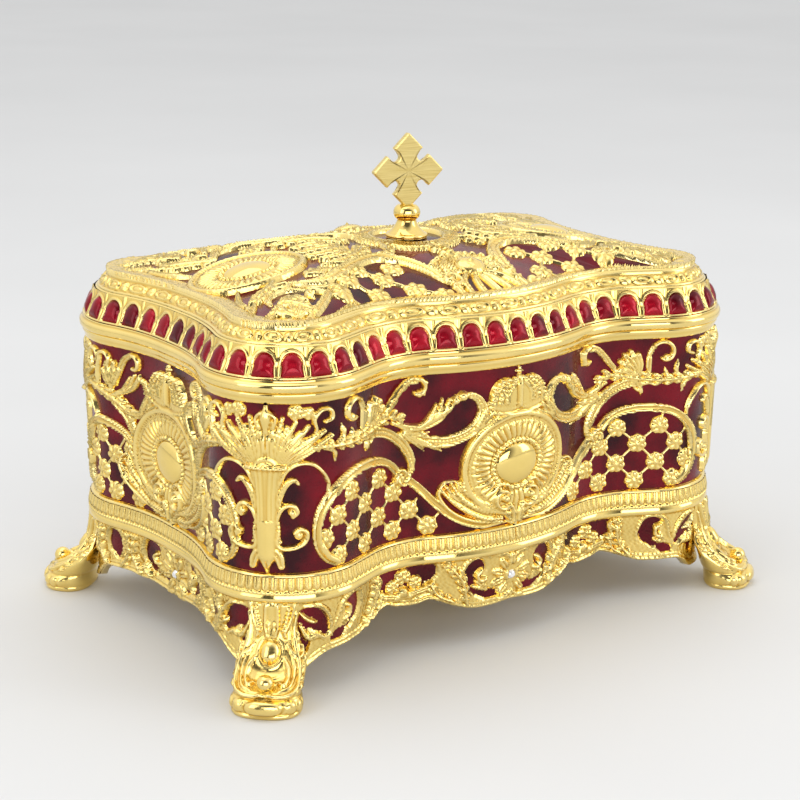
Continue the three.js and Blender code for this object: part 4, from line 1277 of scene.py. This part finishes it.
def domed_sheet(name, shares, sides, drop, material):
    """A sheet with the dome's curve, through rings at shares of its reach."""
    edge = np.stack(offset_outline(np.linspace(0, LAP, sides, endpoint=False), FIELD_OFFSET), -1)
    rings = []
    for share in shares:
        level = FIELD_Z + DOME_RISE * (1 - share * share) - drop
        rings.append(np.column_stack([edge * share, np.full(sides, level)]))
    piece = mesh_object(name, np.concatenate(rings), grid_quads(len(rings), sides, True), material)
    adopt(piece, "lid")


def build_lid():
    """Bosses, gadrooned cove, band, shell, dome and lining."""
    for name, side in (("right", 1), ("left", -1)):
        boss(f"lid_boss_{name}", field_ground, (side * LID_MEDALLION_X, 0), (9.9, 7.8), 1.4, "lid")
    a, b = lap_grid(GADROONS * 20, 0, COVE_LENGTH, 24)
    relief_piece("cove_gold", COVE, a, b, cove_gold(a, b), GOLD, "lid", "gilt_metal", -0.3)
    # the cushions take the brighter enamel, whose bright tone is painted glint
    relief_piece("cove_enamel", COVE, a, b, cove_enamel(a, b), ENAMEL_PAINTED_GLINT, "lid", "red_enamel", -0.3)
    a, b = lap_grid(GUILLOCHE * 26, 0, BAND_LENGTH, 18)
    relief_piece("guilloche_band", BAND, a, b, band_heights(a, b), GOLD, "lid", "gilt_metal", WHOLE)
    shell = [(-6.4, 122), (-6.4, 115.3), (-4.4, 115.3), (-4.4, 118.3), (2.6, 118.3), (3.0, 118.5),
             (3.35, 119.1), (3.5, 120.2), (3.35, 121.1), (2.9, 121.7), (2.1, 122.0), (1.95, 122.3),
             (2.0, 122.6), (1.75, 122.95), (1.3, 123.1), (-3.4, 133.6), (-3.3, 133.9), (-3.6, 134.3),
             (-4.4, 134.4), (-9.2, 139.4), (-9.45, 140.1), (-10.0, 140.75), (-10.7, 140.9), (-11.4, 140.5),
             (-12.2, 139.5), (-12.4, 137), (-8.2, 134), (-4.2, 122.8), (-6.4, 122)]
    swept_piece("lid_shell", shell, GOLD_POLISHED, "lid", 1.2)
    build_field()
    domed_sheet("field_enamel", np.linspace(1.0, 0.02, 16), 360, 0, ENAMEL)
    domed_sheet("lid_lining", np.linspace(0.02, 0.97, 12), 240, LID_WALL, GOLD)


build_lid()


# ---------------------------------------------------------------- feet

FOOT_ROWS = np.array([  # z, front, back (both out from the corner of the outline), half width
    (0, 22.6, 3.4, 12.7), (0.7, 23.2, 2.9, 13.2), (1.5, 23.2, 2.8, 13.2), (2.0, 22.6, 2.8, 12.9),
    (3.6, 23.0, 2.7, 13.2), (5.4, 22.7, 2.5, 13.1), (6.5, 21.9, 2.3, 12.8), (7.0, 20.9, 2.1, 12.4),
    (7.4, 20.7, 1.8, 12.5), (8.3, 20.9, 1.2, 12.9), (9.5, 19.6, 0.7, 13.1), (10.8, 16.9, 0.3, 13.3),
    (12.4, 13.4, 0, 13.4), (14.5, 10.4, -0.6, 13.4), (17, 7.9, -1.4, 12.9), (20, 5.6, -2.4, 11.4),
    (24, 3.6, -3.6, 9.4), (28, 2.5, -4.4, 8.9), (33, 1.7, -4.7, 9.8), (36.4, 1.4, -4.7, 10.6),
    (37.1, 0.2, -4.7, 10.4), (37.3, -2.0, -4.7, 9.6),
])
FOOT_CENTRE = ([0, 7, 10, 14.5, 20, 37], [13, 12.4, 9.5, 3.6, -0.8, -4.0])
FOOT_FULL = ([0, 8, 16, 37], [2.5, 2.3, 2.1, 2.0])  # squareness of the slices
FOOT_TURN = 1.85  # how far round each way, in radians, the finely drawn front reaches


def foot_grid(rows=96, front=92, back=22):
    """Places on a foot: its outward, across and up distances, and its drawing coordinates."""
    z, face = FOOT_ROWS[:, 0], FOOT_ROWS[:, 1]
    way = way_along(z, face)
    fine = np.linspace(0, way[-1], rows)
    soft = smooth(np.stack([way, z], -1), 0.3)
    level = np.interp(fine, soft[:, 0], soft[:, 1])
    front_of, back_of, wide = (np.interp(level, z, FOOT_ROWS[:, k]) for k in (1, 2, 3))
    centre, full = np.interp(level, *FOOT_CENTRE), np.interp(level, *FOOT_FULL)
    angle = np.concatenate([
        np.linspace(-FOOT_TURN, FOOT_TURN, front),
        np.linspace(FOOT_TURN, 2 * math.pi - FOOT_TURN, back + 2)[1:-1],
    ])
    cosine, sine = np.cos(angle)[:, None], np.sin(angle)[:, None]
    power = 2 / full
    deep = np.where(cosine > 0, front_of - centre, centre - back_of)
    out = centre + deep * np.sign(cosine) * np.abs(cosine) ** power
    across = wide * np.sign(sine) * np.abs(sine) ** power
    turn = np.where(angle > math.pi, angle - 2 * math.pi, angle)[:, None]
    side = 0.92 * turn * wide
    return out, across, np.broadcast_to(level, out.shape), side, np.broadcast_to(fine, out.shape), turn


def foot_way(z):
    """How far up the front of a foot the height z is reached."""
    return float(np.interp(z, FOOT_ROWS[:, 0], way_along(FOOT_ROWS[:, 0], FOOT_ROWS[:, 1])))


def foot_relief(canvas):
    """Two strands that curl in under the ball, a cabochon, a fluted bracket and a leafy toe."""
    def line(*places, side=1):
        return [(side * s, foot_way(z)) for s, z in places]

    for side in (1, -1):
        outer = line((9.6, 33), (8.6, 27), (9.4, 21), (11.4, 16), (12.6, 12), (11.6, 9.6), (8.0, 8.4),
                     (3.6, 8.2), (1.0, 8.6), side=side)
        stroke(canvas, outer, 2.3, 1.5, (0.5, 0.5))
        middle = line((8.0, 19), (9.4, 15.5), (9.6, 12.4), (8.2, 10.3), (4.6, 9.8), side=side)
        stroke(canvas, middle, 1.5, 1.0, (0.4, 0.4))
        inner = line((5.0, 18), (6.8, 15), (7.2, 12.4), (6.0, 10.8), (4.2, 11.6), side=side)
        stroke(canvas, inner, 1.9, 1.5, (0.4, 0.8))
        hook = line((6.0, 22), (8.4, 18.9), (11.4, 17.6), (13.8, 18.8), (13.6, 20.8), side=side)
        stroke(canvas, hook, 1.7, 1.3, (0.5, 0.9))
        for s, z in ((14.2, 16.4), (15.6, 13.6), (16.4, 11.2), (13.0, 24.5), (16.8, 18.4)):
            base = (side * (s - 2.6), foot_way(z - 2.2))
            fan(canvas, base, [90 - side * lean for lean in (10, 38, 66)], (3.4, 3.8, 3.2), 1.25, 1.1)
        rail = line((8.4, 36.6), (6.6, 30.5), (4.6, 26), (5.2, 24.4), side=side)
        stroke(canvas, rail, 1.35, 1.5, (1, 0.8))
        pearls(canvas, line((6.2, 35.6), (4.9, 30), (3.7, 26.4), side=side), 1.5, 0.75, 0.9)
        stroke(canvas, line((1.1, 31), (0.8, 26), side=side), 0.5, 1.9, (0.4, 0.4))
        for s, long, tall in ((9.8, 3.1, 2.5), (14.8, 2.2, 2.3), (18.6, 1.8, 2.0)):
            dome(canvas, (side * s, foot_way(4.1)), (long, tall), 0.95)
        stroke(canvas, line((6.8, 6.0), (7.4, 4.0), (6.6, 2.4), side=side), 0.9, 0.7, (0.6, 0.6))
        for s in (2.0, 5.4):
            dome(canvas, (side * s * 1.25, foot_way(37.0)), (1.5, 1.3), 1.6)
    stroke(canvas, [(0, foot_way(35.2)), (0, foot_way(25.4))], 5.6, 1.5, (1, 0.75), ribbon)
    dome(canvas, (0, foot_way(37.0)), (1.6, 1.4), 1.9)
    dome(canvas, (0, foot_way(19.6)), (4.7, 6.4), 1.0)
    where, r, _ = oval_coordinates(canvas, (0, foot_way(19.6)), 4.7, 6.4, 1)
    canvas.h[where] -= 0.8 * bell(r, 0.78, 0.09)
    dome(canvas, (0, foot_way(19.6)), (3.1, 4.7), 2.3)
    for z, s in ((12.6, 3.6), (11.4, 4.2)):
        stroke(canvas, [(-s, foot_way(z + 0.7)), (0, foot_way(z)), (s, foot_way(z + 0.7))], 0.8, 0.5)
    dome(canvas, (0, foot_way(4.3)), (6.0, 3.0), 1.7)


def foot_piece(name, signs):
    out, across, level, side, way, turn = foot_grid()
    canvas = Canvas(side, way, 0.0)
    hollow = 1.3 * np.exp(-((side / 5.2) ** 4)) * smoothstep((level - 9) / 3) * smoothstep((18 - level) / 5)
    foot_relief(canvas)
    height = (canvas.h - hollow) * smoothstep((1.75 - np.abs(turn)) / 0.4)
    base = np.stack([out, across, level], -1)
    around = np.roll(base, -1, 0) - np.roll(base, 1, 0)
    upward = np.gradient(base, axis=1)
    normal = np.cross(around, upward)
    normal /= np.maximum(np.linalg.norm(normal, axis=-1, keepdims=True), 1e-9)
    base = base + normal * height[..., None] * smoothstep(level / 0.8)[..., None]
    count, rows = level.shape
    points = np.concatenate([base.transpose(1, 0, 2).reshape(-1, 3), [[13, 0, 0]]])
    quads = turned_faces(grid_quads(rows, count, True), signs)
    sole = turned_faces(cap_faces(0, count, count * rows)[:, ::-1], signs)
    adopt(mesh_object(name, foot_points(points, signs), quads, GOLD, True, sole), "casket_base")


def foot_points(points, signs):
    """From a foot's own frame to the casket, mirrored to its corner."""
    x, y, nx, ny = (float(value) for value in outline(FOOT_U))
    out, across, z = np.asarray(points, float).T
    return np.stack([(x + nx * out - ny * across) * signs[0], (y + ny * out + nx * across) * signs[1], z],
                    -1)


def turned_faces(faces, signs):
    return faces if signs[0] * signs[1] > 0 else faces[:, ::-1]


def lathe(profile, count=72):
    """Rings of a (radius, z) profile round the upright axis; both ends narrow to a small ring."""
    line = smooth(profile, 0.22)
    turn = np.linspace(0, 2 * math.pi, count, endpoint=False)
    rings = [np.stack([r * np.cos(turn), r * np.sin(turn), np.full(count, z)], -1) for r, z in line]
    return np.concatenate(rings), grid_quads(len(rings), count, True)


def ball_profile(radius, centre):
    angle = np.radians(np.linspace(-88, 88, 19))
    return [(radius * math.cos(t), centre + radius * math.sin(t)) for t in angle]


BALL = {"radius": 3.4, "out": 17.0, "z": 11.9}


def build_feet():
    corners = {"front_right": (1, 1), "front_left": (-1, 1), "back_right": (1, -1), "back_left": (-1, -1)}
    for name, signs in corners.items():
        foot_piece(f"foot_{name}", signs)
        points, quads = lathe(ball_profile(BALL["radius"], BALL["z"]), 40)
        points = foot_points(points + [BALL["out"], 0, 0], signs)
        ball = mesh_object(f"foot_ball_{name}", points, turned_faces(quads, signs), GOLD_POLISHED)
        adopt(ball, "casket_base")


# ---------------------------------------------------------------- finial and stones

STEM = [(0.1, 152.2), (7.8, 152.2), (8.5, 152.35), (8.68, 152.9), (8.6, 153.4), (8.2, 153.75), (7.5, 154.1),
        (6.2, 155.3), (5.0, 156.9), (4.2, 158.4), (3.95, 159.2), (4.2, 159.7), (4.95, 160.3), (5.45, 161.4),
        (5.58, 162.4), (5.3, 163.7), (4.5, 164.9), (3.2, 165.6), (0.1, 165.8)]
CROSS_HALF = 15.85
CROSS_MIDDLE = 179.5
CROSS_THICK = 3.0
CROSS_TURN = math.radians(-11)
SLOT = {"half": 2.15, "centre": 8.5}


def cross_outline(inset):
    """A square on its corner with a round-ended slot in each side."""
    tip = CROSS_HALF - inset * math.sqrt(2)
    half = SLOT["half"] + inset
    lean = math.sqrt(0.5)
    quarter = [(0.35, tip - 0.35)]
    outer = tip * lean
    for along, off in [(outer, half)] + [
        (SLOT["centre"] - half * math.sin(t), half * math.cos(t)) for t in np.linspace(0, math.pi, 15)
    ] + [(outer, -half)]:
        quarter.append(((along - off) * lean, (along + off) * lean))
    quarter.append((tip - 0.35, 0.35))
    points = []
    for quarter_turn in range(4):
        c, s = round(math.cos(quarter_turn * math.pi / 2)), round(math.sin(quarter_turn * math.pi / 2))
        points += [(x * c + y * s, -x * s + y * c) for x, y in quarter]
    return np.array(points)


def build_cross():
    """A plate with bevelled edges, turned a little on its stem."""
    c, s = math.cos(CROSS_TURN), math.sin(CROSS_TURN)
    half = CROSS_THICK / 2
    layers = [(0.55, half), (0.18, half - 0.12), (0.0, half - 0.45)]
    rings = [(inset, -depth) for inset, depth in layers] + layers[::-1]
    points = []
    for inset, depth in rings:
        flat = cross_outline(inset)
        points.append(np.stack([flat[:, 0] * c - depth * s, flat[:, 0] * s + depth * c,
                                flat[:, 1] + CROSS_MIDDLE], -1))
    count = len(points[0])
    ends = [[half * s, -half * c, CROSS_MIDDLE], [-half * s, half * c, CROSS_MIDDLE]]
    number = count * len(rings)
    caps = np.concatenate([cap_faces(0, count, number),
                           cap_faces(number - count, count, number + 1)[:, ::-1]])
    faces = grid_quads(len(rings), count, True)
    piece = mesh_object("cross_plate", np.concatenate(points + [ends]), faces[:, ::-1], GOLD_BRUSHED, False,
                        caps)
    adopt(piece, "cross")


STONE_RINGS = [(0.15, -1.5), (2.1, -0.1), (2.18, 0.35), (1.75, 0.85), (1.15, 1.28), (0.1, 1.3)]
STONE_SIDES = 12
STONE_Z = 26.6
STONE_SINK = 1.1  # how far a stone sits behind the outline


def build_stones():
    """A cut stone in the middle of each side: facets between rings of (radius, height)."""
    turn = np.linspace(0, 2 * math.pi, STONE_SIDES, endpoint=False)
    for k, side in enumerate(("front", "right", "back", "left")):
        x, y, nx, ny = (float(value) for value in outline(k * SIDE))
        points = []
        for row, (radius, height) in enumerate(STONE_RINGS):
            swing = turn + (row % 2) * math.pi / STONE_SIDES
            across, up = radius * np.cos(swing), radius * np.sin(swing) * 0.86
            out = height - STONE_SINK
            points.append(np.stack([x + nx * out - ny * across, y + ny * out + nx * across, STONE_Z + up],
                                   -1))
        quads = grid_quads(len(points), STONE_SIDES, True)
        stone = mesh_object(f"crystal_{side}", np.concatenate(points), quads, CRYSTAL, False)
        adopt(stone, f"stone_{side}")


build_feet()
points, quads = lathe(STEM, 96)
adopt(mesh_object("finial", points, quads, GOLD_POLISHED), "finial_stem")
build_cross()
build_stones()


# ---------------------------------------------------------------- studio

CAMERA = {"azimuth": -36.07, "elevation": 15.87, "distance": 832.77, "target": (-1.31, 1.24, 81.5),
          "roll": 0.75}
LENS = 88.32
FLOOR_HALF = 12000
SOFTBOXES = {  # place and size in metres, watts
    "top": ((-0.1, 0.25, 1.5), (1.5, 1.1), 5),
    "left": ((-1.5, -0.3, 0.8), (0.8, 1.2), 5),
    "right": ((1.3, -1.1, 0.7), (0.7, 1.1), 6),
    "front": ((-0.7, -1.7, 0.55), (1.8, 0.9), 17),
}
DARK_SIDE = (-0.50, -0.82, 0.28)  # the unlit end of the room, behind the camera


def add_camera():
    """The camera, placed round its target by azimuth, elevation and roll."""
    azimuth, elevation, roll = (math.radians(CAMERA[key]) for key in ("azimuth", "elevation", "roll"))
    back = Vector((
        math.sin(azimuth) * math.cos(elevation),
        -math.cos(azimuth) * math.cos(elevation),
        math.sin(elevation),
    ))
    right = Vector((0, 0, 1)).cross(back).normalized()
    up = back.cross(right)
    turned_right = right * math.cos(roll) + up * math.sin(roll)
    turned_up = up * math.cos(roll) - right * math.sin(roll)
    place = (Vector(CAMERA["target"]) + back * CAMERA["distance"]) * MILLIMETRE
    camera = bpy.data.objects.new("camera", bpy.data.cameras.new("camera"))
    camera.data.lens = LENS
    camera.data.sensor_width = 36
    camera.data.clip_start = 0.05
    rows = [[turned_right[i], turned_up[i], back[i], place[i]] for i in range(3)]
    camera.matrix_world = Matrix(rows + [[0, 0, 0, 1]])
    bpy.context.scene.collection.objects.link(camera)
    bpy.context.scene.camera = camera


def add_light(name, place, size, watts):
    """A white rectangular softbox, turned to the casket."""
    light = bpy.data.lights.new(name, "AREA")
    light.shape = "RECTANGLE"
    light.size, light.size_y = size
    light.energy = watts
    lamp = bpy.data.objects.new(name, light)
    lamp.location = place
    lamp.rotation_euler = (Vector((0, 0, 0.08)) - Vector(place)).to_track_quat("-Z", "Y").to_euler()
    bpy.context.scene.collection.objects.link(lamp)


def add_studio():
    """A pale floor, a pale room with one dark end, and four softboxes."""
    corners = np.array([(-1, -1, 0), (1, -1, 0), (1, 1, 0), (-1, 1, 0)]) * FLOOR_HALF
    floor = mesh_object("floor", corners, [(0, 1, 2, 3)], floor_material())
    world = bpy.data.worlds.new("studio")
    bpy.context.scene.world = world
    world.use_nodes = True
    tree = world.node_tree
    way = add_node(tree, "ShaderNodeTexCoord")
    facing = add_node(tree, "ShaderNodeVectorMath", {1: DARK_SIDE}, operation="DOT_PRODUCT")
    tree.links.new(way.outputs["Generated"], facing.inputs[0])
    room = ramp(tree, facing.outputs["Value"], [(0.55, (1.0, 1.0, 1.0)), (0.82, (0.10, 0.10, 0.11))])
    upright = add_node(tree, "ShaderNodeSeparateXYZ")
    tree.links.new(way.outputs["Generated"], upright.inputs[0])
    rise = ramp(tree, upright.outputs["Z"], [(0.0, grey(0.72)), (0.25, grey(0.78)), (0.6, grey(0.90))])
    background = tree.nodes["Background"]
    tree.links.new(multiply(tree, room, rise), background.inputs["Color"])
    background.inputs["Strength"].default_value = 1.22
    for name, (place, size, watts) in SOFTBOXES.items():
        add_light(f"softbox_{name}", place, size, watts)


add_camera()
add_studio()
bpy.context.scene.view_settings.view_transform = "Standard"
